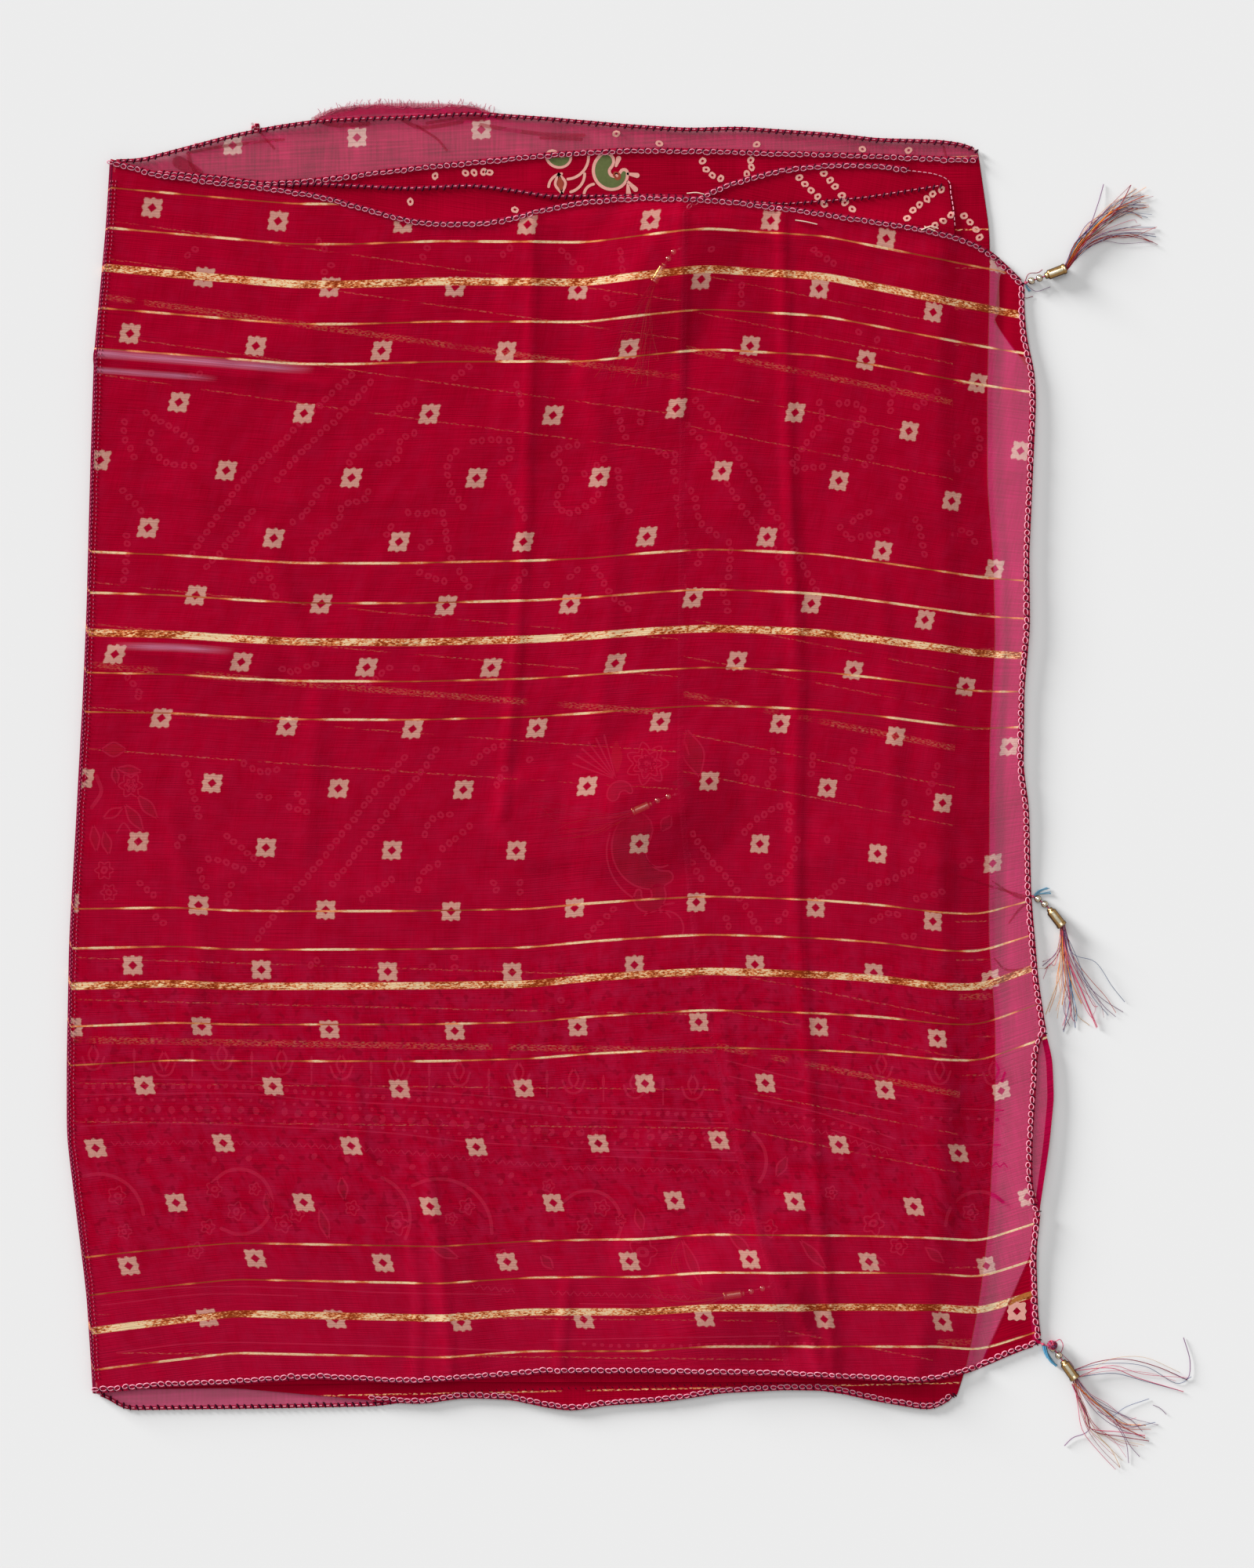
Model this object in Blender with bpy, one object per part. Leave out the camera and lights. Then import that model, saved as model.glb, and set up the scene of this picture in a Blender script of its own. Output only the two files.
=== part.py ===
"""A folded bandhani scarf cloth: one long sheet folded back and forth into five plies, with a bead and
cap tassel at three places along each of its two short ends.

The frame is metres with +Z up. The folded cloth lies on the plane z = 0, its long hems run along X,
and its free short end with the three open tassels points towards +X. Tables are in millimetres.
"""

import math

import bmesh
import bpy
import numpy as np
from mathutils import Vector

MM = 0.001

# Cloth
CLOTH_THICKNESS = 1.0
PLY_PITCH = 1.6
LOWEST_PLY = CLOTH_THICKNESS / 2
PLY_HEIGHT = {name: LOWEST_PLY + PLY_PITCH * level for level, name in enumerate("EDBCA")}
FOLD_STEPS = 4
INNER_FOLD_INSET = 3.5
UPPER_FOLD_INSET = 22.0
END_STRIP = 4.0
LEAST_COLUMN_GAP = 8.0
TOP_PLY_STEP_REACH = (45.0, 85.0)

# The plies, from the free end with tassels: A on top, E under everything and turned over, then D, B and
# the short last ply C. Each table row is (x, y) for a long hem, or (y, x) for a fold or a short end.
TOP_HEM = {
    "A": ((-330, 397.5), (-300, 389), (-270, 385), (-235, 381), (-200, 376), (-180, 371), (-160, 365),
          (-140, 359.5), (-120, 357.5), (-95, 357.5), (-75, 360.5), (-50, 367), (-30, 371), (0, 373.5),
          (30, 373.5), (65, 371.5), (120, 364.5), (180, 355), (210, 349), (231, 340), (245, 327.5),
          (253, 319)),
    "E": ((-330, 397.5), (-310, 398), (-280, 406), (-250, 414), (-225, 419), (-198, 423), (-190, 429.5),
          (-160, 433), (-130, 431), (-100, 432.5), (-86, 427), (-50, 424.5), (0, 420), (40, 417.5),
          (70, 418.5), (130, 414.5), (160, 411), (200, 410), (217, 407.5), (225, 403)),
    "D": ((-325, 393), (-260, 387.5), (-232, 383.5), (-200, 385.5), (-140, 393), (-100, 397),
          (-50, 402), (0, 405), (50, 404.5), (150, 401.5), (225, 398.5)),
    "B": ((-325, 389), (-230, 382), (-200, 383), (-140, 380), (-100, 382), (-80, 380), (-50, 375),
          (25, 375.5), (50, 373.5), (100, 370), (150, 374), (207, 383)),
    "C": ((36, 367), (45, 374), (62, 382), (80, 387.5), (100, 392.5), (130, 395.5), (160, 395),
          (190, 391), (204, 385)),
}
BOTTOM_HEM = {
    "A": ((-341, -387.5), (-300, -383.5), (-250, -381.5), (-200, -378), (-140, -381), (-100, -378.5),
          (-50, -374.5), (25, -375), (100, -376), (190, -380.5), (220, -374), (250, -361),
          (264, -356.5)),
    "E": ((-340, -388.5), (-329, -391), (-323, -398.5), (-235, -397.5), (-160, -396), (-100, -387.5),
          (100, -382.5), (195, -397), (209, -390)),
    "D": ((-339, -386), (-250, -385), (-160, -393), (-130, -394.5), (-105, -390.5), (-75, -391.5),
          (-50, -397), (-35, -399), (-15, -395.5), (25, -393), (60, -387.5), (100, -385.5),
          (130, -386), (155, -392), (195, -399), (209, -390)),
    "B": ((-339, -384), (-100, -381), (207, -381)),
    "C": ((97, -379), (207, -379)),
}
LEFT_FOLD = ((396.5, -330), (355, -332.5), (275, -340), (200, -342.5), (110, -345), (50, -347.5),
             (-40, -352.5), (-100, -356), (-175, -357.5), (-225, -357.5), (-265, -352.5),
             (-325, -345), (-387.5, -341))
RIGHT_FOLD = ((398.5, 225), (350, 232), (250, 230), (190, 230), (140, 234), (90, 235), (30, 231.5),
              (-100, 231), (-150, 235), (-200, 235), (-280, 231), (-330, 225), (-375, 216),
              (-395, 209))
FREE_END = ((319, 253), (305, 252.5), (285, 254), (262.5, 259), (245, 260), (190, 257.5),
            (145, 255.5), (100, 256), (60, 252.5), (10, 252), (-15, 255.5), (-71, 257), (-95, 259),
            (-125, 261.5), (-155, 266), (-175, 271), (-200, 272), (-230, 269), (-270, 263),
            (-300, 260), (-340, 261.5), (-356.5, 264))
HIDDEN_END = ((367, 36), (240, 34), (-5, 32.5), (-125, 45), (-225, 67), (-320, 92.5), (-379, 102))

# Where the grid lines of each ply lie, and how the top ply comes down past the stack's edge:
# (distance right of the stack's edge, height of the ply's middle).
COLUMNS = {
    "A": (195, 160, 125, 95, 80, 65, 50, 35, 22, 10, -5, -30, -60, -95, -120, -140, -165, -200, -235,
          -270, -300, -322),
    "E": (-310, -280, -225, -198, -188, -160, -100, -85, 0, 70, 160, 205),
    "D": (195, 150, 100, 60, 0, -35, -60, -105, -140, -235, -310),
    "B": (-310, -235, -140, -80, -50, 50, 110, 185),
    "C": (185, 150, 100, 62),
}
EDGE_DROP = ((8.0, 0.5), (3.5, 3.4), (-4.0, 4.1), (-17.0, 6.7))
ROWS = (373.5, 364, 350, 337, 325, 313, 300, 275, 235, 190, 140, 90, 45, 8, -5, -18, -35, -75, -125,
        -175, -225, -270, -305, -320, -333, -352, -375)

# Soft ridges of the top ply: (x, y) to (x, y), half width and height.
RIDGES = (
    (-58, 350, -66, 225, 26, 1.6),
    (62, 360, 66, 180, 24, 1.2),
    (-170, 300, -260, 268, 24, 1.2),
    (-300, 90, -235, 84, 30, 1.4),
    (130, -40, 205, -62, 26, 1.6),
    (-125, -250, -110, -365, 26, 1.4),
    (112, -270, 122, -372, 26, 1.4),
    (190, -180, 215, -300, 22, 1.2),
)

# Tassel hardware
BEAD_RADIUS = 2.3
BEAD_BORE = 1.0
BEAD_SEGMENTS = 10
CAP_LENGTH = 14.0
CAP_RADIUS = 3.5
CAP_SEGMENTS = 12
CAP_PROFILE = ((0.0, 1.5), (0.9, 2.0), (1.7, 2.2), (2.6, 3.1), (11.6, 3.3), (12.5, 3.5), (14.0, 3.4),
               (14.0, 2.9), (3.4, 2.7), (1.6, 1.0), (0.0, 1.0))
THREAD_RADIUS = 0.45
THREAD_SIDES = 6
KNOT_RADIUS = 1.0
TAIL_RADII = (0.45, 0.55, 0.6)
TAIL_HEIGHT = 0.65
TAIL_SPREAD = 0.12
HEAD_RADIUS = 2.25
HEAD_SPAN = (9.2, 12.4)
HEAD_SIDES = 12
ROOT_SPAN = (11.6, 14.3)
STRAND_RADIUS = 0.3
STRAND_END_RADIUS = 0.4
STRAND_SIDES = 3
STRAND_ROWS = 4
ROOT_ROW_STEP = 1.0
ROOT_HALF_WIDTH = 1.45
OPEN_SAG = (0.72, 0.5, 0.14, 0.0)
PRESSED_SAG = (0.36, 0.1, 0.0, 0.0)
REST_GAP = 0.3
FLOOR_GAP = 0.05
SECOND_BEAD_RISE = 0.6

ON_PLY_B = PLY_HEIGHT["B"] + CLOTH_THICKNESS / 2 + REST_GAP - FLOOR_GAP

# Tassels: hem is where the tie leaves the cloth, cap runs from neck to mouth, base is the height of what
# the tassel lies on, tie_height that of its hem. A bundle is (strands, one side's points, the other's).
TASSELS = {
    "tassel_1": dict(
        hem=(253.0, 319.0), bead_1=(257.8, 320.6), bead_2=(262.9, 322.2),
        cap=((266.3, 323.4), (1, 0.38)), base=0.0, tie_height=LOWEST_PLY,
        tail=(((254.6, 318.6), (255.2, 316.2), (256.9, 314.4)),),
        bundles=(
            (6, ((285.5, 344.5), (295.5, 357), (310, 369.5), (326, 380)),
                ((287, 344), (298, 357), (315, 369), (335, 375.5))),
            (8, ((287.5, 343.5), (299, 356), (316, 368), (334, 372)),
                ((289, 342.5), (301.5, 353.5), (318, 362), (335, 362))),
            (6, ((289.5, 341.5), (302, 351), (319, 355), (337, 355)),
                ((290.5, 339.5), (304, 346.5), (320, 348.5), (338, 346))),
        )),
    "tassel_2": dict(
        hem=(257.7, -71.2), bead_1=(261.9, -73.2), bead_2=(266.2, -76.6),
        cap=((268.8, -79.3), (0.61, -0.79)), base=0.0, tie_height=LOWEST_PLY,
        tail=(((258.6, -70.2), (262.5, -68.4), (268.5, -66.5)),
              ((258.8, -70.6), (263, -70.2), (270, -69.6))),
        bundles=(
            (3, ((274.5, -103), (271.5, -110.5), (269, -113.5), (266.5, -115.5)),
                ((275.5, -105), (273.5, -113), (270.5, -117), (267, -120))),
            (3, ((276.5, -107.5), (275.5, -122.5), (273, -134), (269.5, -145)),
                ((277, -108), (277, -124), (275, -136), (272, -148))),
            (8, ((277.5, -108), (278.5, -125), (279, -142.5), (277.5, -158)),
                ((280, -108.5), (283, -126), (286, -142.5), (287.5, -156))),
            (6, ((281, -108.5), (285.5, -126), (293, -142.5), (298.5, -156)),
                ((284, -108.5), (295, -123), (306, -135), (316.5, -145))),
        )),
    "tassel_3": dict(
        hem=(264.1, -356.6), bead_1=(271.5, -359.6), bead_2=(275.2, -364.1),
        cap=((277.5, -367.4), (0.58, -0.81)), base=0.0, tie_height=LOWEST_PLY,
        tail=(((265.8, -358.2), (268, -363), (272.5, -369.5)),),
        bundles=(
            (4, ((293, -375.5), (309, -369), (330, -370), (358, -378)),
                ((293.5, -377), (310, -376), (331, -382), (354, -386))),
            (8, ((295, -388.5), (306, -395), (320, -403), (337, -407.5)),
                ((293, -392.5), (304, -403), (316, -412), (331, -415.5))),
            (8, ((290.5, -393.5), (299, -407.5), (312, -418), (328, -425)),
                ((287, -395), (292, -412), (302, -424), (315, -434))),
        )),
    "tassel_4": dict(
        hem=(34.6, 341), bead_1=(29.6, 338.4), bead_2=(26.4, 334),
        cap=((24.2, 330.8), (-0.51, -0.86)), base=ON_PLY_B, tie_height=PLY_HEIGHT["C"], tail=(),
        bundles=(
            (5, ((15.5, 304), (16, 290), (16.5, 272.5), (16, 254)),
                ((12, 304), (10, 290), (7.5, 272.5), (3, 254))),
            (5, ((10, 305), (5, 290), (-1, 272.5), (-8, 255)),
                ((7, 306), (-2, 292.5), (-11, 275), (-20, 257.5))),
        )),
    "tassel_5": dict(
        hem=(32, -6.5), bead_1=(26.4, -8), bead_2=(19.4, -10.6),
        cap=((16.0, -12.2), (-0.91, -0.41)), base=ON_PLY_B, tie_height=PLY_HEIGHT["C"], tail=(),
        bundles=(
            (5, ((-7.5, -26), (-16, -30), (-27.5, -33), (-41, -34)),
                ((-8.5, -23.5), (-20, -25), (-35, -26.5), (-52.5, -26))),
            (5, ((-9, -22), (-21.5, -22.5), (-39, -22), (-57.5, -20)),
                ((-9.5, -19), (-24, -17), (-42.5, -13), (-65, -8))),
        )),
    "tassel_6": dict(
        hem=(91.8, -320), bead_1=(86.2, -320.8), bead_2=(79, -322.6),
        cap=((75, -323.6), (-0.99, -0.14)), base=ON_PLY_B, tie_height=PLY_HEIGHT["C"], tail=(),
        bundles=(
            (5, ((51.5, -331), (38, -334.5), (24, -336), (7.5, -333)),
                ((51, -328), (38, -329), (25, -326), (15, -316.5))),
            (5, ((50.5, -326), (38, -324.5), (29, -315), (25, -300)),
                ((50, -323.5), (39, -318), (33, -305), (37, -287.5))),
        )),
}
# How far the top ply is held up over a hidden tassel: height over its base near the cap, then over its
# strands, each with the reach at full height, and the slope beyond that.
TENT_CAP = (8.2, 13.0)
TENT_STRANDS = (2.6, 26.0)
TENT_SLOPE = 0.3

FINISHES = {
    "crimson_cloth": dict(colour=(0.33, 0.004, 0.02), roughness=0.75, metallic=0.0),
    "brass": dict(colour=(0.55, 0.37, 0.12), roughness=0.28, metallic=1.0),
    "gilt_bead": dict(colour=(0.72, 0.62, 0.45), roughness=0.15, metallic=1.0),
    "blue_thread": dict(colour=(0.16, 0.3, 0.45), roughness=0.7, metallic=0.0),
    "mixed_thread": dict(colour=(0.5, 0.17, 0.16), roughness=0.8, metallic=0.0),
}


def clear_scene():
    for thing in list(bpy.data.objects):
        bpy.data.objects.remove(thing, do_unlink=True)


def material(name):
    made = bpy.data.materials.get(name) or bpy.data.materials.new(name)
    made.use_nodes = True
    shader = made.node_tree.nodes["Principled BSDF"]
    finish = FINISHES[name]
    shader.inputs["Base Color"].default_value = (*finish["colour"], 1.0)
    shader.inputs["Roughness"].default_value = finish["roughness"]
    shader.inputs["Metallic"].default_value = finish["metallic"]
    return made


def add_object(name, points, faces, finish, smooth=False):
    """One object from points in millimetres."""
    mesh = bpy.data.meshes.new(name)
    mesh.from_pydata([tuple(c * MM for c in point) for point in points], [], faces)
    shape = bmesh.new()
    shape.from_mesh(mesh)
    bmesh.ops.recalc_face_normals(shape, faces=shape.faces)
    shape.to_mesh(mesh)
    shape.free()
    if smooth:
        mesh.shade_smooth()
        mesh.set_sharp_from_angle(angle=math.radians(40))
    thing = bpy.data.objects.new(name, mesh)
    thing.data.materials.append(material(finish))
    bpy.context.scene.collection.objects.link(thing)
    return thing


def along(table, value):
    """Reads a table of (position, value) rows between its rows."""
    rows = sorted(table)
    return float(np.interp(value, [row[0] for row in rows], [row[1] for row in rows]))


def left_edge(ply, y):
    if ply == "C":
        return along(HIDDEN_END, y)
    inset = CLOTH_THICKNESS / 2 if ply in "AE" else INNER_FOLD_INSET
    return along(LEFT_FOLD, y) + inset


def right_edge(ply, y):
    if ply == "A":
        return along(FREE_END, y)
    return along(RIGHT_FOLD, y) - (UPPER_FOLD_INSET if ply in "BC" else 0.0)


def distance_to(x, y, start, end):
    here, a, b = Vector((x, y)), Vector(start), Vector(end)
    line = b - a
    share = min(1.0, max(0.0, (here - a).dot(line) / line.length_squared))
    return (here - a - line * share).length


def tassel_points(part):
    """Neck and mouth of a tassel's cap in plan."""
    neck, direction = part["cap"]
    neck = Vector(neck)
    return neck, neck + Vector(direction).normalized() * CAP_LENGTH


def tent(x, y):
    """Lowest height that the top ply's middle may have over the hidden tassels."""
    height = 0.0
    for part in TASSELS.values():
        if part["base"] == 0.0:
            continue
        neck, mouth = tassel_points(part)
        ends = [Vector(side[-1]) for bundle in part["bundles"] for side in bundle[1:]]
        tip = sum(ends, Vector((0.0, 0.0))) / len(ends)
        for (rise, reach), start, end in ((TENT_CAP, part["bead_1"], mouth), (TENT_STRANDS, mouth, tip)):
            beyond = max(0.0, distance_to(x, y, start, end) - reach)
            height = max(height, part["base"] + rise - TENT_SLOPE * beyond)
    return height


def ridge(x, y):
    height = 0.0
    for x0, y0, x1, y1, width, rise in RIDGES:
        share = distance_to(x, y, (x0, y0), (x1, y1)) / width
        if share < 1.0:
            height = max(height, rise * (1.0 - share * share) ** 2)
    return height


def top_ply_height(x, y):
    """The top ply lies on the short last ply, steps down past its end, and rises over hidden tassels."""
    near, far = TOP_PLY_STEP_REACH
    past = along(HIDDEN_END, y) - x
    share = min(1.0, max(0.0, (past - near) / (far - near)))
    base = PLY_HEIGHT["A"] - PLY_PITCH * share
    return max(base + ridge(x, y), tent(x, y))


def spot(ply, x, row):
    """Plan position on a ply where grid column x and a row of the grid cross."""
    share = (ROWS[0] - row) / (ROWS[0] - ROWS[-1])
    top, bottom = along(TOP_HEM[ply], x), along(BOTTOM_HEM[ply], x)
    return x, top + (bottom - top) * share


def edge_spot(ply, edge, offset, row):
    """Like spot, for a column that keeps its distance to an edge that is not straight."""
    x = edge(ply, row) + offset
    for _ in range(4):
        x, y = spot(ply, x, row)
        x = edge(ply, y) + offset
    return x, y


def turn(ply, other, edge, way, row):
    """Half round of a fold, from one ply to the next, bulging to the left (-1) or the right (+1)."""
    first, last = PLY_HEIGHT[ply], PLY_HEIGHT[other]
    if ply == "A":
        first -= PLY_PITCH
    radius = abs(last - first) / 2
    x0, y0 = edge_spot(ply, edge, -way * radius, row)
    x1, y1 = edge_spot(other, edge, -way * radius, row)
    line = []
    for step in range(FOLD_STEPS + 1):
        share = step / FOLD_STEPS
        angle = math.pi * share
        bulge = way * radius * math.sin(angle)
        middle = (first + last) / 2
        line.append((x0 + (x1 - x0) * share + bulge, y0 + (y1 - y0) * share,
                     middle + (first - middle) * math.cos(angle)))
    return line


def cloth_line(row):
    """The middle of the sheet along one row, from the free end with tassels to the hidden end."""
    line = []
    for offset in (0.0, -END_STRIP):
        line.append((*edge_spot("A", right_edge, offset, row), LOWEST_PLY))
    for offset, height in EDGE_DROP:
        line.append((*edge_spot("A", lambda ply, y: along(RIGHT_FOLD, y), offset, row), height))
    for x in COLUMNS["A"]:
        x, y = spot("A", x, row)
        line.append((x, y, top_ply_height(x, y)))
    line += turn("A", "E", left_edge, -1, row)
    previous = "E"
    for ply, edge, way in (("D", right_edge, 1), ("B", left_edge, -1), ("C", right_edge, 1)):
        line += [(*spot(previous, x, row), PLY_HEIGHT[previous]) for x in COLUMNS[previous]]
        line += turn(previous, ply, edge, way, row)
        previous = ply
    past_end = along(HIDDEN_END, row) + LEAST_COLUMN_GAP
    line += [(*spot("C", x, row), PLY_HEIGHT["C"]) for x in COLUMNS["C"] if x > past_end]
    return line


def make_cloth():
    lines = [cloth_line(row) for row in ROWS]
    shortest = min(len(line) for line in lines)
    lines = [line[:shortest] + [(*edge_spot("C", left_edge, 0.0, row), PLY_HEIGHT["C"])]
             for line, row in zip(lines, ROWS)]
    count = shortest + 1
    points = [point for line in lines for point in line]
    faces = []
    for r in range(len(lines) - 1):
        for c in range(count - 1):
            a, b = r * count + c, (r + 1) * count + c
            faces.append((a, a + 1, b + 1, b))
    cloth = add_object("cloth", points, faces, "crimson_cloth")
    shell = cloth.modifiers.new("thickness", "SOLIDIFY")
    shell.thickness = CLOTH_THICKNESS * MM
    shell.offset = 0.0
    shell.use_even_offset = True
    cloth.modifiers.new("facets", "TRIANGULATE")
    return cloth


def frame_along(direction):
    """Sideways and upward axes for a cross-section square to a direction."""
    direction = Vector(direction).normalized()
    side = Vector((0, 0, 1)).cross(direction)
    side = side.normalized() if side.length > 1e-6 else Vector((1, 0, 0))
    return direction, side, direction.cross(side)


def turned(name, profile, segments, start, direction, finish):
    """A closed profile of (distance along the axis, radius) turned round the axis."""
    direction, side, up = frame_along(direction)
    points, faces = [], []
    for step in range(segments):
        angle = 2 * math.pi * step / segments
        outward = side * math.cos(angle) + up * math.sin(angle)
        points += [Vector(start) + direction * s + outward * r for s, r in profile]
    count = len(profile)
    for step in range(segments):
        a, b = step * count, (step + 1) % segments * count
        for i in range(count):
            j = (i + 1) % count
            faces.append((a + i, b + i, b + j, a + j))
    return add_object(name, points, faces, finish, smooth=True)


def bead_profile():
    """Outer half circle of a bead, closed along its bore."""
    start = math.asin(BEAD_BORE / BEAD_RADIUS)
    steps = 5
    angles = [start + (math.pi - 2 * start) * i / steps for i in range(steps + 1)]
    return [(-BEAD_RADIUS * math.cos(a), BEAD_RADIUS * math.sin(a)) for a in angles]


def tube_mesh(points, radii, sides):
    """Points and faces of a closed tube with flat ends."""
    points = [Vector(p) for p in points]
    ring_points, faces = [], []
    for i, here in enumerate(points):
        before, after = points[max(i - 1, 0)], points[min(i + 1, len(points) - 1)]
        _, side, up = frame_along(after - before)
        for k in range(sides):
            angle = math.pi / 2 + 2 * math.pi * k / sides
            ring_points.append(here + (side * math.cos(angle) + up * math.sin(angle)) * radii[i])
    for i in range(len(points) - 1):
        for k in range(sides):
            a, b = i * sides + k, i * sides + (k + 1) % sides
            faces.append((a, b, b + sides, a + sides))
    faces.append(tuple(range(sides - 1, -1, -1)))
    last = (len(points) - 1) * sides
    faces.append(tuple(range(last, last + sides)))
    return ring_points, faces


def gather(tubes):
    points, faces = [], []
    for tube_points, tube_faces in tubes:
        start = len(points)
        points += tube_points
        faces += [tuple(start + i for i in face) for face in tube_faces]
    return points, faces


def united(thing, cutter):
    """Joins a hidden helper object into a piece."""
    cutter.hide_render = True
    cutter.display_type = "WIRE"
    union = thing.modifiers.new("union", "BOOLEAN")
    union.operation = "UNION"
    union.object = cutter


def centre_heights(part):
    """Heights of the two beads and the cap's axis over the tassel's base."""
    first = part["base"] + BEAD_RADIUS
    return first + FLOOR_GAP, first + SECOND_BEAD_RISE, part["base"] + CAP_RADIUS + FLOOR_GAP


def make_tie(name, part):
    """The thread from a knot at the hem through both beads into the cap, with its cut tails."""
    low, high, axis_height = centre_heights(part)
    neck, mouth = tassel_points(part)
    hem = Vector((*part["hem"], part["tie_height"]))
    bead_1, bead_2 = Vector((*part["bead_1"], low)), Vector((*part["bead_2"], high))
    start, end = Vector((*neck, axis_height)), Vector((*mouth, axis_height))
    away = (bead_1 - hem).normalized()
    away.z = 0.0
    knot = hem + away.normalized() * (KNOT_RADIUS + REST_GAP)
    knot.z = max(hem.z, part["base"] + KNOT_RADIUS + FLOOR_GAP)
    route = [knot]
    for bead, axis in ((bead_1, bead_2 - knot), (bead_2, start - bead_1)):
        half = axis.normalized() * BEAD_RADIUS
        route += [bead - half, bead + half]
    axis = (end - start).normalized()
    route += [start, start + axis * (HEAD_SPAN[0] - REST_GAP)]
    tubes = [tube_mesh(route, [THREAD_RADIUS] * len(route), THREAD_SIDES)]
    for number, tail in enumerate(part["tail"], 1):
        line = [Vector((*point, TAIL_HEIGHT)) for point in tail]
        line[0] = knot + away * (TAIL_SPREAD * number)
        tubes.append(tube_mesh(line, TAIL_RADII, THREAD_SIDES))
    knot_points, knot_faces = ball(knot, KNOT_RADIUS)
    tie = add_object(name + "_tie", knot_points, knot_faces, "blue_thread")
    for index, (points, faces) in enumerate(tubes):
        united(tie, add_object(f"{name}_tie_run_{index}", points, faces, "blue_thread"))
    return tie


def ball(centre, radius):
    mesh = bmesh.new()
    bmesh.ops.create_icosphere(mesh, subdivisions=1, radius=radius)
    mesh.verts.ensure_lookup_table()
    points = [Vector(centre) + v.co for v in mesh.verts]
    faces = [tuple(v.index for v in face.verts) for face in mesh.faces]
    mesh.free()
    return points, faces


def strand_tubes(part):
    """Every strand of a tassel, in order from one side of its fan to the other."""
    _, mouth = tassel_points(part)
    neck, direction = part["cap"]
    direction = Vector(direction).normalized()
    height = centre_heights(part)[2]
    floor = part["base"] + STRAND_END_RADIUS / 2 + FLOOR_GAP
    sags = PRESSED_SAG if part["base"] > 0 else OPEN_SAG
    total = sum(bundle[0] for bundle in part["bundles"])
    across = Vector((-direction.y, direction.x))
    first = Vector(part["bundles"][0][1][0]) - Vector(neck)
    if first.dot(across) < 0:
        across = -across
    tubes, index = [], 0
    for strands, one_side, other_side in part["bundles"]:
        for k in range(strands):
            share = k / max(1, strands - 1)
            lift = (index % STRAND_ROWS - (STRAND_ROWS - 1) / 2) * ROOT_ROW_STEP
            shift = across * ROOT_HALF_WIDTH * (1 - 2 * index / (total - 1))
            line = []
            for s in ROOT_SPAN:
                plan = Vector(neck) + direction * s + shift
                line.append((*plan, height + lift))
            for a, b, sag in zip(one_side, other_side, sags):
                plan = Vector(a).lerp(Vector(b), share)
                line.append((*plan, floor + (height + lift - floor) * sag))
            radii = [STRAND_RADIUS] * 3 + [STRAND_END_RADIUS] * (len(line) - 3)
            tubes.append(tube_mesh(line, radii, STRAND_SIDES))
            index += 1
    return tubes


def make_strands(name, part):
    height = centre_heights(part)[2]
    neck, direction = part["cap"]
    direction = Vector((*Vector(direction).normalized(), 0.0))
    ends = [Vector((*neck, height)) + direction * s for s in HEAD_SPAN]
    points, faces = tube_mesh(ends, [HEAD_RADIUS] * 2, HEAD_SIDES)
    strands = add_object(name + "_strands", points, faces, "mixed_thread")
    points, faces = gather(strand_tubes(part))
    united(strands, add_object(name + "_strand_runs", points, faces, "mixed_thread"))
    return strands


def make_tassel(name, part):
    low, high, axis_height = centre_heights(part)
    neck, _ = tassel_points(part)
    hem = Vector((*part["hem"], part["tie_height"]))
    start = Vector((*neck, axis_height))
    beads = [Vector((*part["bead_1"], low)), Vector((*part["bead_2"], high))]
    axes = [beads[1] - hem, start - beads[0]]
    for number, (bead, axis) in enumerate(zip(beads, axes), 1):
        turned(f"{name}_bead_{number}", bead_profile(), BEAD_SEGMENTS, bead, axis, "gilt_bead")
    turned(name + "_cap", CAP_PROFILE, CAP_SEGMENTS, start, (*part["cap"][1], 0.0), "brass")
    make_tie(name, part)
    make_strands(name, part)


def main():
    clear_scene()
    make_cloth()
    for name, part in TASSELS.items():
        make_tassel(name, part)


main()
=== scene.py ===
"""Looks of the folded bandhani scarf cloth: the sheer printed sheet in its five plies, its overlock sewing,
gold stripes, prints, loose hairs and six bead and cap tassels, with the camera straight above.

Lengths in tables are millimetres in the frame of the CAD model; +X is the free end with open tassels.
"""

import math

import bpy
import numpy as np
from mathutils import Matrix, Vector


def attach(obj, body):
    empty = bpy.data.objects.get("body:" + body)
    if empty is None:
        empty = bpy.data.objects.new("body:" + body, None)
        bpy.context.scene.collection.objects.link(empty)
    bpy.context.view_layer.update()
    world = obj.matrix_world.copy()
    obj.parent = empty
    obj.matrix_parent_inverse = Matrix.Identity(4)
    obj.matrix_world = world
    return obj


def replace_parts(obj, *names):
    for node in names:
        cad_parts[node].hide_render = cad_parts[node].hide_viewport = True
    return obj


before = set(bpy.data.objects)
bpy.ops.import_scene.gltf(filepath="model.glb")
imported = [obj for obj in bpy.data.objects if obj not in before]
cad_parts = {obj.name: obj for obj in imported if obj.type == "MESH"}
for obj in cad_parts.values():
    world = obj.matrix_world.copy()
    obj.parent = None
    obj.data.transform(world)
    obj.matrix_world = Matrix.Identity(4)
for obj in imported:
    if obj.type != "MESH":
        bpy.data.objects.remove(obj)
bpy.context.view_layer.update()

MM = 0.001

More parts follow.
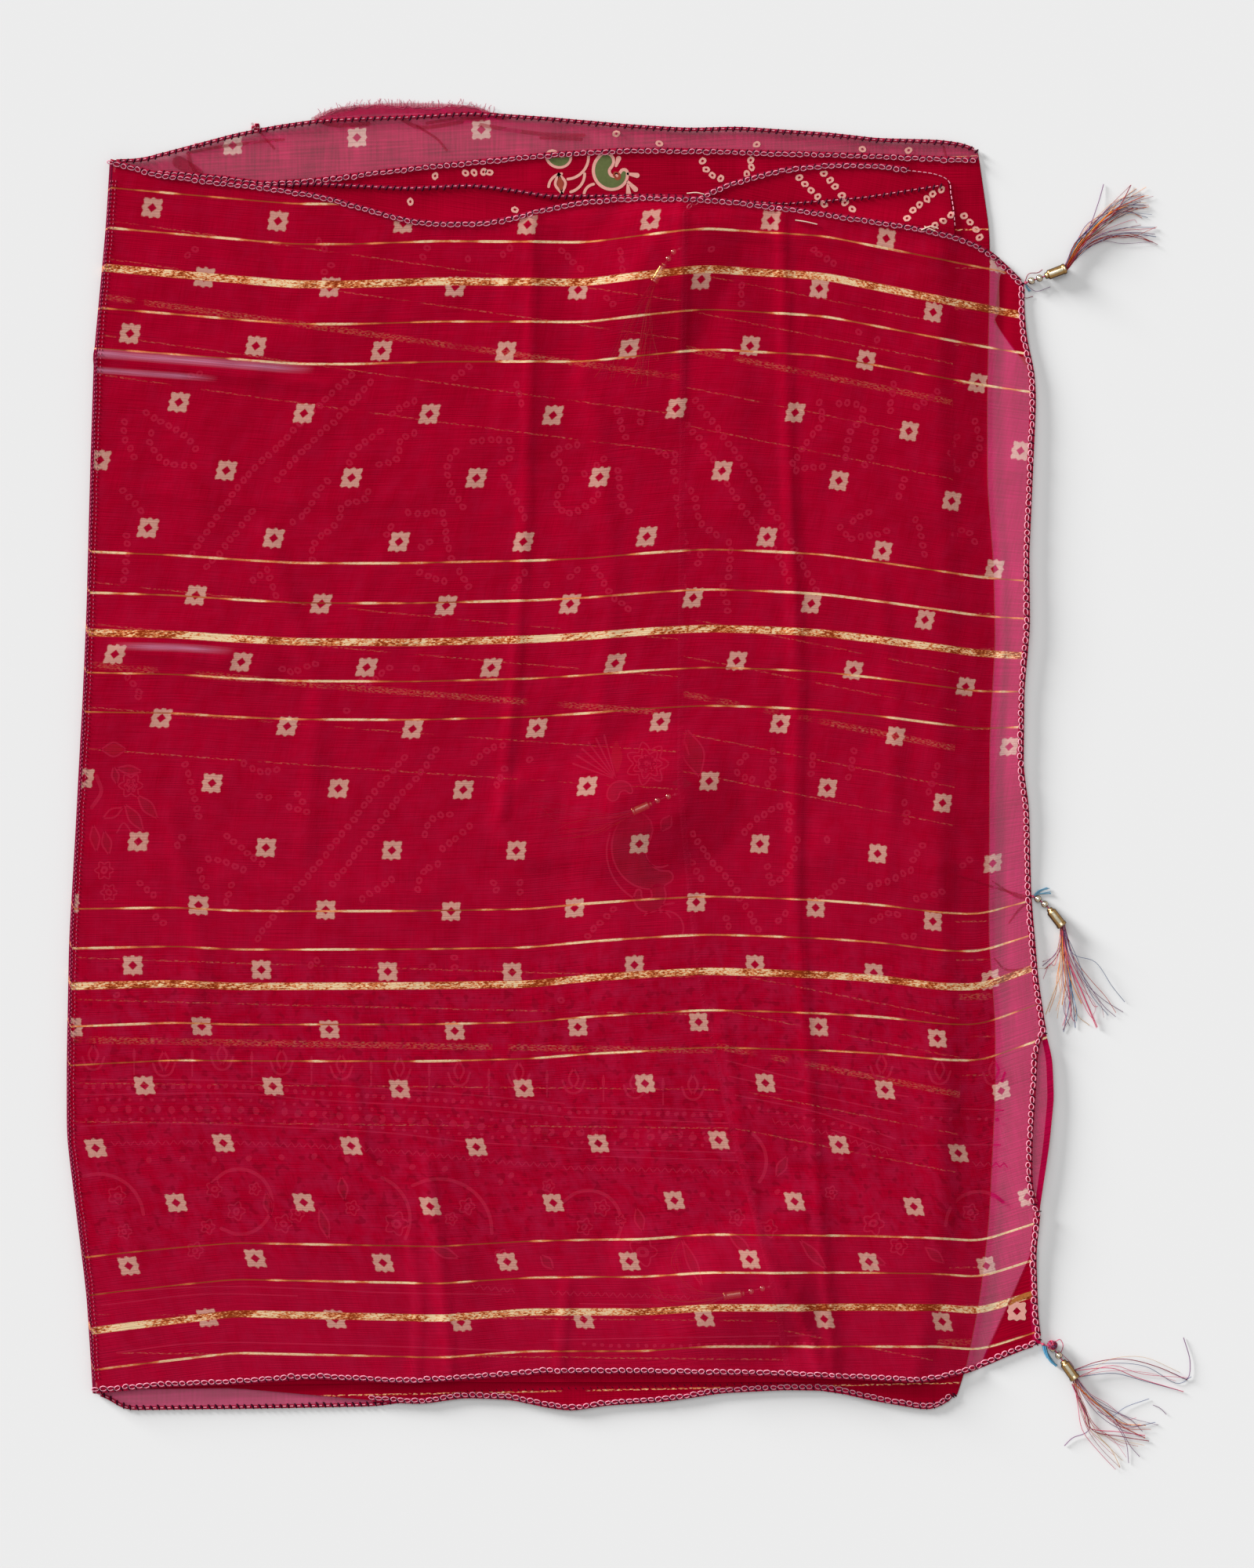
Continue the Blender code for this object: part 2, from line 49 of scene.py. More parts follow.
# The folded sheet, as in the CAD source
PLY_PITCH = 1.6
LOWEST_PLY = 0.5
OPEN_PLY_PITCH = 0.7
PLY_HEIGHT = {name: LOWEST_PLY + PLY_PITCH * level for level, name in enumerate("EDBCA")}
OUTER_FOLD_INSET = 0.5
INNER_FOLD_INSET = 3.5
UPPER_FOLD_INSET = 22.0
STEP_REACH = (45.0, 85.0)
TOP_HEM = {
    "A": ((-330, 397.5), (-300, 389), (-270, 385), (-235, 381), (-200, 376), (-180, 371), (-160, 365),
          (-140, 359.5), (-120, 357.5), (-95, 357.5), (-75, 360.5), (-50, 367), (-30, 371), (0, 373.5),
          (30, 373.5), (65, 371.5), (120, 364.5), (180, 355), (210, 349), (231, 340), (245, 327.5),
          (253, 319)),
    "E": ((-330, 397.5), (-310, 398), (-280, 406), (-250, 414), (-225, 419), (-198, 423), (-190, 429.5),
          (-160, 433), (-130, 431), (-100, 432.5), (-86, 427), (-50, 424.5), (0, 420), (40, 417.5),
          (70, 418.5), (130, 414.5), (160, 411), (200, 410), (217, 407.5), (225, 403)),
    "D": ((-325, 393), (-260, 387.5), (-232, 383.5), (-200, 385.5), (-140, 393), (-100, 397),
          (-50, 402), (0, 405), (50, 404.5), (150, 401.5), (225, 398.5)),
    "B": ((-325, 389), (-230, 382), (-200, 383), (-140, 380), (-100, 382), (-80, 380), (-50, 375),
          (25, 375.5), (50, 373.5), (100, 370), (150, 374), (207, 383)),
    "C": ((36, 367), (45, 374), (62, 382), (80, 387.5), (100, 392.5), (130, 395.5), (160, 395),
          (190, 391), (204, 385)),
}
BOTTOM_HEM = {
    "A": ((-341, -387.5), (-300, -383.5), (-250, -381.5), (-200, -378), (-140, -381), (-100, -378.5),
          (-50, -374.5), (25, -375), (100, -376), (190, -380.5), (220, -374), (250, -361),
          (264, -356.5)),
    "E": ((-340, -388.5), (-329, -391), (-323, -398.5), (-235, -397.5), (-160, -396), (-100, -387.5),
          (100, -382.5), (195, -397), (209, -390)),
    "D": ((-339, -386), (-250, -385), (-160, -393), (-130, -394.5), (-105, -390.5), (-75, -391.5),
          (-50, -397), (-35, -399), (-15, -395.5), (25, -393), (60, -387.5), (100, -385.5),
          (130, -386), (155, -392), (195, -399), (209, -390)),
    "B": ((-339, -384), (-100, -381), (207, -381)),
    "C": ((97, -379), (207, -379)),
}
LEFT_FOLD = ((396.5, -330), (355, -332.5), (275, -340), (200, -342.5), (110, -345), (50, -347.5),
             (-40, -352.5), (-100, -356), (-175, -357.5), (-225, -357.5), (-265, -352.5),
             (-325, -345), (-387.5, -341))
RIGHT_FOLD = ((398.5, 225), (350, 232), (250, 230), (190, 230), (140, 234), (90, 235), (30, 231.5),
              (-100, 231), (-150, 235), (-200, 235), (-280, 231), (-330, 225), (-375, 216),
              (-395, 209))
FREE_END = ((319, 253), (305, 252.5), (285, 254), (262.5, 259), (245, 260), (190, 257.5),
            (145, 255.5), (100, 256), (60, 252.5), (10, 252), (-15, 255.5), (-71, 257), (-95, 259),
            (-125, 261.5), (-155, 266), (-175, 271), (-200, 272), (-230, 269), (-270, 263),
            (-300, 260), (-340, 261.5), (-356.5, 264))
HIDDEN_END = ((367, 36), (240, 34), (-5, 32.5), (-125, 45), (-225, 67), (-320, 92.5), (-379, 102))
EDGE_DROP = ((-17.0, 5.0), (-4.0, 3.3), (3.5, 2.6), (8.0, 0.5))
EDGE_DROP_START = -34.0
HEM_LIFT = ((335, 0.2), (319, 0.3), (285, 1.6), (220, 3.2), (120, 3.8), (20, 2.8), (-45, 1.4), (-71, 0.3),
            (-95, 1.3), (-160, 3.2), (-240, 3.6), (-310, 2.4), (-345, 1.0), (-356, 0.3), (-370, 0.2))
RIDGES = (
    (-58, 350, -66, 225, 26, 1.6),
    (62, 360, 66, 180, 24, 1.2),
    (-170, 300, -260, 268, 24, 1.2),
    (-300, 90, -235, 84, 30, 1.4),
    (130, -40, 205, -62, 26, 1.6),
    (-125, -250, -110, -365, 26, 1.4),
    (112, -270, 122, -372, 26, 1.4),
    (190, -180, 215, -300, 22, 1.2),
)

# Sharper creases of the top ply: half width, rise and points
CREASES = (
    (4.0, 1.3, ((-60, 372), (-61, 280), (-64, 180), (-72, 60), (-80, -20))),
    (4.0, 1.5, ((98, 366), (103, 200), (110, 70), (108, -80), (118, -220), (132, -378))),
    (3.5, 1.2, ((35, 371), (35, 300), (33, 235))),
    (4.0, 1.2, ((-127, -240), (-118, -310), (-112, -376))),
    (4.0, 1.2, ((-38, -318), (-43, -374))),
    (4.0, 1.3, ((108, -322), (122, -374))),
    (5.0, 1.3, ((-340, 274), (-280, 264), (-190, 253))),
    (4.0, 1.1, ((-325, 86), (-255, 78))),
    (3.0, 0.9, ((197, -50), (228, -58), (255, -70))),
    (2.5, 0.7, ((205, -72), (232, -71), (256, -72))),
    (2.5, 0.7, ((222, -96), (242, -84), (256, -73))),
    (3.0, 0.6, ((222, 318), (240, 316), (251, 318))),
    (3.0, 0.6, ((226, 290), (242, 303), (252, 315))),
    (3.0, 0.7, ((222, -358), (246, -352), (262, -355))),
    (6.0, 0.5, ((-330, 190), (-250, 178), (-150, 181))),
    (7.0, 0.5, ((150, 232), (190, 205), (222, 196))),
    (6.0, 0.5, ((-260, -60), (-180, -72), (-120, -70))),
    (7.0, 0.8, ((20, -190), (60, -215), (92, -250))),
    (4.0, 1.0, ((-175, -185), (-166, -240), (-140, -275), (-132, -330), (-134, -378))),
    (4.0, 1.2, ((60, -152), (72, -215), (84, -290), (128, -372))),
    (3.5, 0.9, ((104, 200), (105, -10), (106, -70))),
    (9.0, 0.9, ((-230, 160), (-196, 60), (-205, -40))),
    (9.0, 0.8, ((-20, 240), (-8, 120), (-20, 30))),
    (8.0, 0.8, ((160, 130), (172, 40), (165, -60))),
    (9.0, 0.8, ((-290, -20), (-270, -110), (-285, -170))),
    (4.0, 1.0, ((20, 362), (70, 350), (130, 346), (200, 335))),
    (3.0, 0.8, ((60, 358), (110, 338), (150, 330))),
)

REAR_CREASES = (
    (2.2, 0.9, ((-115, 428), (-98, 418), (-60, 420), (10, 414))),
    (2.0, 0.8, ((-92, 426), (-65, 417), (-20, 412))),
    (2.6, 0.9, ((-300, 402), (-285, 392), (-262, 388))),
    (2.0, 0.8, ((-290, 405), (-276, 398), (-268, 390))),
    (2.0, 0.7, ((-232, 416), (-214, 408), (-206, 396))),
    (2.2, 0.7, ((-190, 424), (-172, 412), (-160, 404), (-150, 398))),
    (1.8, 0.7, ((-160, 420), (-152, 408), (-146, 402))),
    (2.0, 0.6, ((-250, 410), (-200, 404), (-130, 409))),
    (2.0, 0.6, ((130, 412), (134, 404))),
)

# Tassel hardware and routes, as in the CAD source
BEAD_RADIUS = 2.3
BEAD_BORE = 1.0
BEAD_RISE = 0.55
REST_GAP = 0.05
CAP_LENGTH = 14.0
CAP_RADIUS = 3.5
TENT_CAP = (8.2, 13.0)
TENT_STRANDS = (2.6, 26.0)
TENT_SLOPE = 0.17
ON_PLY_B = PLY_HEIGHT["B"] + 0.75
OPEN_SAG = (0.72, 0.5, 0.14, 0.0)
PRESSED_SAG = (0.36, 0.1, 0.0, 0.0)
TASSELS = {
    "tassel_1": dict(
        hem=(253.0, 319.0), bead_1=(257.8, 320.6), bead_2=(262.9, 322.2),
        cap=((266.3, 323.4), (1, 0.38)), base=0.0, tie_height=LOWEST_PLY,
        tail=(((254.6, 318.6), (255.2, 316.2), (256.9, 314.4)),),
        bundles=(
            (6, ((285.5, 344.5), (295.5, 357), (310, 369.5), (326, 380)),
                ((287, 344), (298, 357), (315, 369), (335, 375.5))),
            (8, ((287.5, 343.5), (299, 356), (316, 368), (334, 372)),
                ((289, 342.5), (301.5, 353.5), (318, 362), (335, 362))),
            (6, ((289.5, 341.5), (302, 351), (319, 355), (337, 355)),
                ((290.5, 339.5), (304, 346.5), (320, 348.5), (338, 346))),
        )),
    "tassel_2": dict(
        hem=(257.7, -71.2), bead_1=(261.9, -73.2), bead_2=(266.2, -76.6),
        cap=((268.8, -79.3), (0.61, -0.79)), base=0.0, tie_height=LOWEST_PLY,
        tail=(((258.6, -70.2), (262.5, -68.4), (268.5, -66.5)),
              ((258.8, -70.6), (263, -70.2), (270, -69.6))),
        bundles=(
            (3, ((274.5, -103), (271.5, -110.5), (269, -113.5), (266.5, -115.5)),
                ((275.5, -105), (273.5, -113), (270.5, -117), (267, -120))),
            (3, ((276.5, -107.5), (275.5, -122.5), (273, -134), (269.5, -145)),
                ((277, -108), (277, -124), (275, -136), (272, -148))),
            (8, ((277.5, -108), (278.5, -125), (279, -142.5), (277.5, -158)),
                ((280, -108.5), (283, -126), (286, -142.5), (287.5, -156))),
            (6, ((281, -108.5), (285.5, -126), (293, -142.5), (298.5, -156)),
                ((284, -108.5), (295, -123), (306, -135), (316.5, -145))),
        )),
    "tassel_3": dict(
        hem=(264.1, -356.6), bead_1=(271.5, -359.6), bead_2=(275.2, -364.1),
        cap=((277.5, -367.4), (0.58, -0.81)), base=0.0, tie_height=LOWEST_PLY,
        tail=(((265.8, -358.2), (268, -363), (272.5, -369.5)),),
        bundles=(
            (4, ((293, -375.5), (309, -369), (330, -370), (358, -378)),
                ((293.5, -377), (310, -376), (331, -382), (354, -386))),
            (8, ((295, -388.5), (306, -395), (320, -403), (337, -407.5)),
                ((293, -392.5), (304, -403), (316, -412), (331, -415.5))),
            (8, ((290.5, -393.5), (299, -407.5), (312, -418), (328, -425)),
                ((287, -395), (292, -412), (302, -424), (315, -434))),
        )),
    "tassel_4": dict(
        hem=(34.6, 341), bead_1=(29.6, 338.4), bead_2=(26.4, 334),
        cap=((24.2, 330.8), (-0.51, -0.86)), base=ON_PLY_B, tie_height=PLY_HEIGHT["C"], tail=(),
        bundles=(
            (5, ((15.5, 304), (16, 290), (16.5, 272.5), (16, 254)),
                ((12, 304), (10, 290), (7.5, 272.5), (3, 254))),
            (5, ((10, 305), (5, 290), (-1, 272.5), (-8, 255)),
                ((7, 306), (-2, 292.5), (-11, 275), (-20, 257.5))),
        )),
    "tassel_5": dict(
        hem=(32, -6.5), bead_1=(26.4, -8), bead_2=(19.4, -10.6),
        cap=((16.0, -12.2), (-0.91, -0.41)), base=ON_PLY_B, tie_height=PLY_HEIGHT["C"], tail=(),
        bundles=(
            (5, ((-7.5, -26), (-16, -30), (-27.5, -33), (-41, -34)),
                ((-8.5, -23.5), (-20, -25), (-35, -26.5), (-52.5, -26))),
            (5, ((-9, -22), (-21.5, -22.5), (-39, -22), (-57.5, -20)),
                ((-9.5, -19), (-24, -17), (-42.5, -13), (-65, -8))),
        )),
    "tassel_6": dict(
        hem=(91.8, -320), bead_1=(86.2, -320.8), bead_2=(79, -322.6),
        cap=((75, -323.6), (-0.99, -0.14)), base=ON_PLY_B, tie_height=PLY_HEIGHT["C"], tail=(),
        bundles=(
            (5, ((51.5, -331), (38, -334.5), (24, -336), (7.5, -333)),
                ((51, -328), (38, -329), (25, -326), (15, -316.5))),
            (5, ((50.5, -326), (38, -324.5), (29, -315), (25, -300)),
                ((50, -323.5), (39, -318), (33, -305), (37, -287.5))),
        )),
}

# The middle of each wide gold stripe on the top ply, as a scratch program found it in the photograph
WIDE_STRIPES = (
    ((-325, 328), (-287, 324.5), (-212, 318), (-175, 318), (-119, 320), (-25, 319), (50, 327.5),
     (125, 323), (200, 308), (245, 300)),
    ((-325, 96), (-287, 95), (-250, 92.5), (-212, 90.5), (-137, 90), (-62, 92), (-25, 94), (12, 97),
     (50, 99), (87, 98), (125, 96), (162, 91.5), (200, 86.5), (225, 83), (245, 82)),
    ((-325, -128), (-287, -127), (-250, -129), (-137, -128.5), (-62, -127.5), (-25, -123.5),
     (12, -121), (50, -119), (87, -120), (125, -121.5), (162, -124), (200, -129), (225, -129.5),
     (262, -116)),
    ((-342, -348.5), (-325, -346), (-250, -337), (-212, -338), (-120, -340), (-62, -336), (12, -336),
     (50, -332.5), (200, -333), (225, -336), (262, -324)),
)
STRIPE_GROUP_PITCH = 220.0
SPREAD_ABOVE = 0.957
SPREAD_BELOW = 1.04

# How far the columns of small squares bow to the left at each height, from places read off. The
# heights, the pitches and the first row are rounded from a scratch program's fit to those places.
SQUARES_BOW = ((357, 0), (275, -13.5), (194, -32.5), (113, -51), (31, -73.5), (-43, -85.5),
               (-119, -88), (-194, -81), (-266, -61.5), (-340, -42.5))
COLUMN_PITCH = 78.5
COLUMN_PITCH_AT_MIDDLE = 77.4
COLUMN_PITCH_LOSS = 0.016
MIDDLE_COLUMN = 3.81
ROW_PITCH = 38.8
FIRST_ROW = -33.0
ROW_SKEW = 0.018
SKEW_CENTRE = 340.0
SQUARE_REACH = 6.35
SQUARE_NOTCH = 0.75
SQUARE_RIPPLE = 0.65
SQUARE_HOLE = 2.9
FLAT_SQUARE_HOLE = 2.6
LAST_SQUARE = 190.0
LAST_ROW = 680.0
STRIPE_PITCH = 24.5
REAR_SQUARE_INSET = 251.5
REAR_SPREAD = 0.99
REAR_PRINT_TOP = 330.0
REAR_SLOPE = 0.045
# Colours of the gold thread from dark to bright, partly its own twisted tone and partly painted highlights
# where it glints
ZARI_DARK = (0.3, 0.045, 0.008)
ZARI_MIDDLE = (0.85, 0.27, 0.085)
ZARI_BRIGHT = (1.0, 0.76, 0.44)

# Rows and columns of the sheet's grid
ROW_COUNT = 216
TOP_COLUMNS = 166
LOWER_COLUMNS = 54
REAR_COLUMNS = 110
FREE_STRIP_COLUMNS = 10
TURN_STEPS = 8


def smooth(rows, spread=5.0):
    """A rounded curve through rows of (position, value), straight on past both ends."""
    rows = sorted(rows)
    at = np.array([row[0] for row in rows], float)
    value = np.array([row[1] for row in rows], float)
    reach = 5 * spread
    before = value[0] - (value[1] - value[0]) / (at[1] - at[0]) * reach
    after = value[-1] + (value[-1] - value[-2]) / (at[-1] - at[-2]) * reach
    at = np.concatenate(([at[0] - reach], at, [at[-1] + reach]))
    value = np.concatenate(([before], value, [after]))
    step = 0.5
    fine = np.arange(at[0], at[-1] + step, step)
    offsets = np.arange(-3 * spread, 3 * spread + step, step)
    weights = np.exp(-0.5 * (offsets / spread) ** 2)
    half = len(offsets) // 2
    line = np.pad(np.interp(fine, at, value), half, mode="edge")
    line = np.convolve(line, weights / weights.sum(), mode="valid")
    return lambda x: np.interp(x, fine, line)


top_hem = {name: smooth(rows) for name, rows in TOP_HEM.items()}
bottom_hem = {name: smooth(rows) for name, rows in BOTTOM_HEM.items()}
left_fold = smooth(LEFT_FOLD, 8)
right_fold = smooth(RIGHT_FOLD, 8)
free_end = smooth(FREE_END, 4)
hidden_end = smooth(HIDDEN_END, 12)
hem_lift = smooth(HEM_LIFT, 9)
stripes = [smooth(rows, 7) for rows in WIDE_STRIPES]
bow = smooth(SQUARES_BOW, 14)


def soft_step(value):
    value = np.clip(value, 0.0, 1.0)
    return value * value * (3.0 - 2.0 * value)


def distance_to(x, y, start, end):
    ax, ay = start
    dx, dy = end[0] - ax, end[1] - ay
    share = np.clip(((x - ax) * dx + (y - ay) * dy) / (dx * dx + dy * dy), 0.0, 1.0)
    return np.hypot(x - ax - dx * share, y - ay - dy * share)


def cap_ends(part):
    neck, direction = part["cap"]
    neck = Vector(neck)
    return neck, neck + Vector(direction).normalized() * CAP_LENGTH


def tent(x, y):
    """Lowest height of the top ply over the hidden tassels."""
    height = np.zeros_like(x)
    for part in TASSELS.values():
        if part["base"] == 0.0:
            continue
        _, mouth = cap_ends(part)
        ends = [Vector(side[-1]) for bundle in part["bundles"] for side in bundle[1:]]
        tip = sum(ends, Vector((0.0, 0.0))) / len(ends)
        for (rise, reach), start, end in ((TENT_CAP, part["bead_1"], mouth), (TENT_STRANDS, mouth, tip)):
            beyond = np.maximum(0.0, distance_to(x, y, start, end) - reach)
            height = np.maximum(height, part["base"] + rise - TENT_SLOPE * beyond)
    return height


def ridges(x, y):
    height = np.zeros_like(x)
    for x0, y0, x1, y1, width, rise in RIDGES:
        share = np.clip(distance_to(x, y, (x0, y0), (x1, y1)) / width, 0.0, 1.0)
        height = np.maximum(height, rise * (1.0 - share * share) ** 2)
    return height


def creases(x, y, table=CREASES):
    height = np.zeros_like(x)
    for width, rise, points in table:
        away = np.full_like(x, 1e6)
        for start, end in zip(points, points[1:]):
            away = np.minimum(away, distance_to(x, y, start, end))
        height += rise * np.exp(-((away / width) ** 2) * 2.0)
    return height


def ripples(x, y):
    """Small soft waves of limp cloth, 0 to 1."""
    wave = np.sin(x / 23 + 1.3 * np.sin(y / 61)) * np.sin(y / 83 + 0.7 * np.sin(x / 47))
    wave += 0.6 * np.sin(x / 11 + y / 37 + 2 * np.sin(y / 90))
    return 0.5 + wave / 3.2


def top_ply_height(x, y):
    """The top ply steps down past the last ply's end, rises over tassels and drops to the floor."""
    past = hidden_end(y) - x
    near, far = STEP_REACH
    base = PLY_HEIGHT["A"] - PLY_PITCH * soft_step((past - near) / (far - near))
    height = np.maximum(base + ridges(x, y), tent(x, y)) + 0.5 * ripples(x, y) + creases(x, y)
    beyond = x - right_fold(y)
    last = EDGE_DROP[0][0]
    share = soft_step((beyond - EDGE_DROP_START) / (last - EDGE_DROP_START))
    drop = np.interp(beyond, [row[0] for row in EDGE_DROP], [row[1] for row in EDGE_DROP])
    past_edge = soft_step((beyond - 8.0) / 8.0)
    drop = drop + past_edge * (0.7 * ripples(x * 1.7, y * 1.3) + 0.5 * creases(x, y))
    drop = drop + hem_lift(y) * (0.75 + 0.25 * soft_step((beyond - 6.0) / 18.0)) * soft_step(beyond / 8.0)
    return height * (1.0 - share) + drop * share


def lower_ply_height(ply, x, y):
    """The lower plies lie closer together along the top hems and right fold, and the rear one has tucks."""
    flat = LOWEST_PLY + OPEN_PLY_PITCH * "EDBC".index(ply)
    pressed = np.maximum(soft_step((y - 354.0) / 14.0), 0.9 * soft_step((x - right_fold(y) + 40.0) / 26.0))
    height = PLY_HEIGHT[ply] + (flat - PLY_HEIGHT[ply]) * pressed
    if ply == "E":
        bare = soft_step((y - top_hem["D"](x) - 2.0) / 5.0)
        height = height + bare * (creases(x, y, REAR_CREASES) + 0.35 * ripples(x * 1.5, y * 2.0))
    return height


def top_print(x, y):
    """Flat coordinates of the top ply, along and across the cloth."""
    lines = [stripe(x) for stripe in stripes]
    across = (lines[0] - y) * SPREAD_ABOVE
    for k in range(3):
        share = (lines[k] - y) / (lines[k] - lines[k + 1])
        across = np.where(y < lines[k], STRIPE_GROUP_PITCH * (k + share), across)
    across = np.where(y < lines[3], STRIPE_GROUP_PITCH * 3 + (lines[3] - y) * SPREAD_BELOW, across)
    column = -np.log(1 - COLUMN_PITCH_LOSS * x / COLUMN_PITCH_AT_MIDDLE) / COLUMN_PITCH_LOSS
    column = column + MIDDLE_COLUMN - bow(y) / COLUMN_PITCH_AT_MIDDLE
    return COLUMN_PITCH * column, across


def rear_print(x, y):
    """Flat coordinates of the rear ply, counted from its first square on the left."""
    from_square = x + REAR_SQUARE_INSET
    return -REAR_SPREAD * from_square + COLUMN_PITCH / 2, REAR_PRINT_TOP + REAR_SLOPE * from_square - y


def middle_print(x, y):
    return x + 400.0, 300.0 - y + 0.02 * x


def upper_print(x, y):
    skew = 0.13 * np.clip((y + 190.0) / 460.0, 0.0, 1.0) + 0.01
    return 900.0 - x, 272.0 - y - skew * (x + 60.0)


def last_print(x, y):
    return x + 1200.0 - 0.2 * y, 270.0 - y - 0.2 * (x - 73.0)


PRINTS = {"A": top_print, "E": rear_print, "D": middle_print, "B": upper_print, "C": last_print}
SHEER_STRIP, SHEER_TOP, SHEER_REAR, SHEER_REAR_LOW, FOLD_EDGE, HEM_BAND, BACKED, REAR = range(8)


def patch(ply, start, end, columns):
    """Places on one ply between two edges, in rows from its top hem to its bottom hem."""
    share = np.linspace(0.0, 1.0, ROW_COUNT)[:, None]
    across = np.linspace(0.0, 1.0, columns)[None, :]
    x = np.zeros((ROW_COUNT, columns))
    y = x
    for _ in range(12):
        y = top_hem[ply](x) * (1.0 - share) + bottom_hem[ply](x) * share
        x = start(y) * (1.0 - across) + end(y) * across
    z = top_ply_height(x, y) if ply == "A" else lower_ply_height(ply, x, y)
    u, v = PRINTS[ply](x, y)
    return np.stack((x, y, z, u, v), axis=-1)


def turn(before, after, way):
    """Half round of a fold between the last column of one ply and the first of the next."""
    first, last = before[:, -1], after[:, 0]
    radius = np.abs(last[:, 2] - first[:, 2]) / 2
    columns = []
    for step in range(1, TURN_STEPS):
        share = step / TURN_STEPS
        column = first * (1.0 - share) + last * share
        column[:, 0] += way * radius * math.sin(math.pi * share)
        middle = (first[:, 2] + last[:, 2]) / 2
        column[:, 2] = middle + (first[:, 2] - middle) * math.cos(math.pi * share)
        columns.append(column)
    return np.stack(columns, axis=1)


def shifted(curve, offset):
    return lambda y: curve(y) + offset


def make_mesh(name, points, faces, materials, indices=None, uv=None):
    mesh = bpy.data.meshes.new(name)
    points = np.asarray(points, float) * MM
    faces = np.asarray(faces, np.int32)
    mesh.vertices.add(len(points))
    mesh.vertices.foreach_set("co", points.ravel())
    sides = faces.shape[1]
    mesh.loops.add(faces.size)
    mesh.loops.foreach_set("vertex_index", faces.ravel())
    mesh.polygons.add(len(faces))
    mesh.polygons.foreach_set("loop_start", np.arange(0, faces.size, sides, dtype=np.int32))
    if uv is not None:
        layer = mesh.uv_layers.new(name="print")
        layer.data.foreach_set("uv", (np.asarray(uv)[faces.ravel()] * MM).ravel())
    for material in materials:
        mesh.materials.append(material)
    if indices is not None:
        mesh.polygons.foreach_set("material_index", np.asarray(indices, np.int32))
    mesh.update(calc_edges=True)
    mesh.validate()
    mesh.polygons.foreach_set("use_smooth", [True] * len(mesh.polygons))
    thing = bpy.data.objects.new(name, mesh)
    bpy.context.scene.collection.objects.link(thing)
    return thing


def make_cloth(materials):
    """The whole sheet, one grid from the free end to the hidden end."""
    outer = (PLY_HEIGHT["A"] - PLY_PITCH - PLY_HEIGHT["E"]) / 2
    inner = PLY_PITCH / 2
    left_outer = shifted(left_fold, OUTER_FOLD_INSET + outer)
    left_inner = shifted(left_fold, INNER_FOLD_INSET + inner)
    right_lower = shifted(right_fold, -inner)
    right_upper = shifted(right_fold, -UPPER_FOLD_INSET - inner)
    strip = patch("A", free_end, right_fold, FREE_STRIP_COLUMNS)
    top = patch("A", right_fold, left_outer, TOP_COLUMNS)[:, 1:]
    rear = patch("E", left_outer, right_lower, REAR_COLUMNS)
    middle = patch("D", right_lower, left_inner, LOWER_COLUMNS)
    upper = patch("B", left_inner, right_upper, LOWER_COLUMNS)
    last = patch("C", right_upper, hidden_end, LOWER_COLUMNS // 2)
    parts = [
        (strip, SHEER_STRIP), (top, SHEER_TOP), (turn(top, rear, -1), FOLD_EDGE),
        (rear, REAR), (turn(rear, middle, 1), BACKED), (middle, BACKED),
        (turn(middle, upper, -1), FOLD_EDGE), (upper, BACKED), (turn(upper, last, 1), BACKED),
        (last, BACKED),
    ]
    grid = np.concatenate([part for part, _ in parts], axis=1)
    owners = np.concatenate([np.full(part.shape[1], kind) for part, kind in parts])
    rows, columns = grid.shape[:2]
    index = np.arange(rows * columns).reshape(rows, columns)
    faces = np.stack((index[:-1, :-1], index[1:, :-1], index[1:, 1:], index[:-1, 1:]), axis=-1)
    kinds = np.broadcast_to(owners[1:], (rows - 1, columns - 1)).copy()
    centre = (grid[:-1, :-1] + grid[1:, 1:]) / 2
    x, y, z = centre[..., 0], centre[..., 1], centre[..., 2]
    above = np.maximum(top_hem["D"](x), top_hem["A"](x)) - 4.0
    below = np.minimum(bottom_hem["D"](x), bottom_hem["A"](x)) + 4.0
    rear_faces = kinds == REAR
    kinds[rear_faces] = BACKED
    kinds[rear_faces & (y > above)] = SHEER_REAR
    kinds[rear_faces & (y < below)] = SHEER_REAR_LOW
    kinds[:, 0] = HEM_BAND
    points = grid.reshape(-1, 5)
    order = np.argsort(z.ravel(), kind="stable")
    return make_mesh("folded_cloth", points[:, :3], faces.reshape(-1, 4)[order], materials,
                     kinds.ravel()[order], points[:, 3:])


PHOTO_MIDDLE = np.array((800.0, 1000.0))
MM_PER_PIXEL = 0.5


def on_sheet(points):
    """Photo pixels to millimetres on the cloth."""
    return (np.asarray(points, float) - PHOTO_MIDDLE) * (MM_PER_PIXEL, -MM_PER_PIXEL)


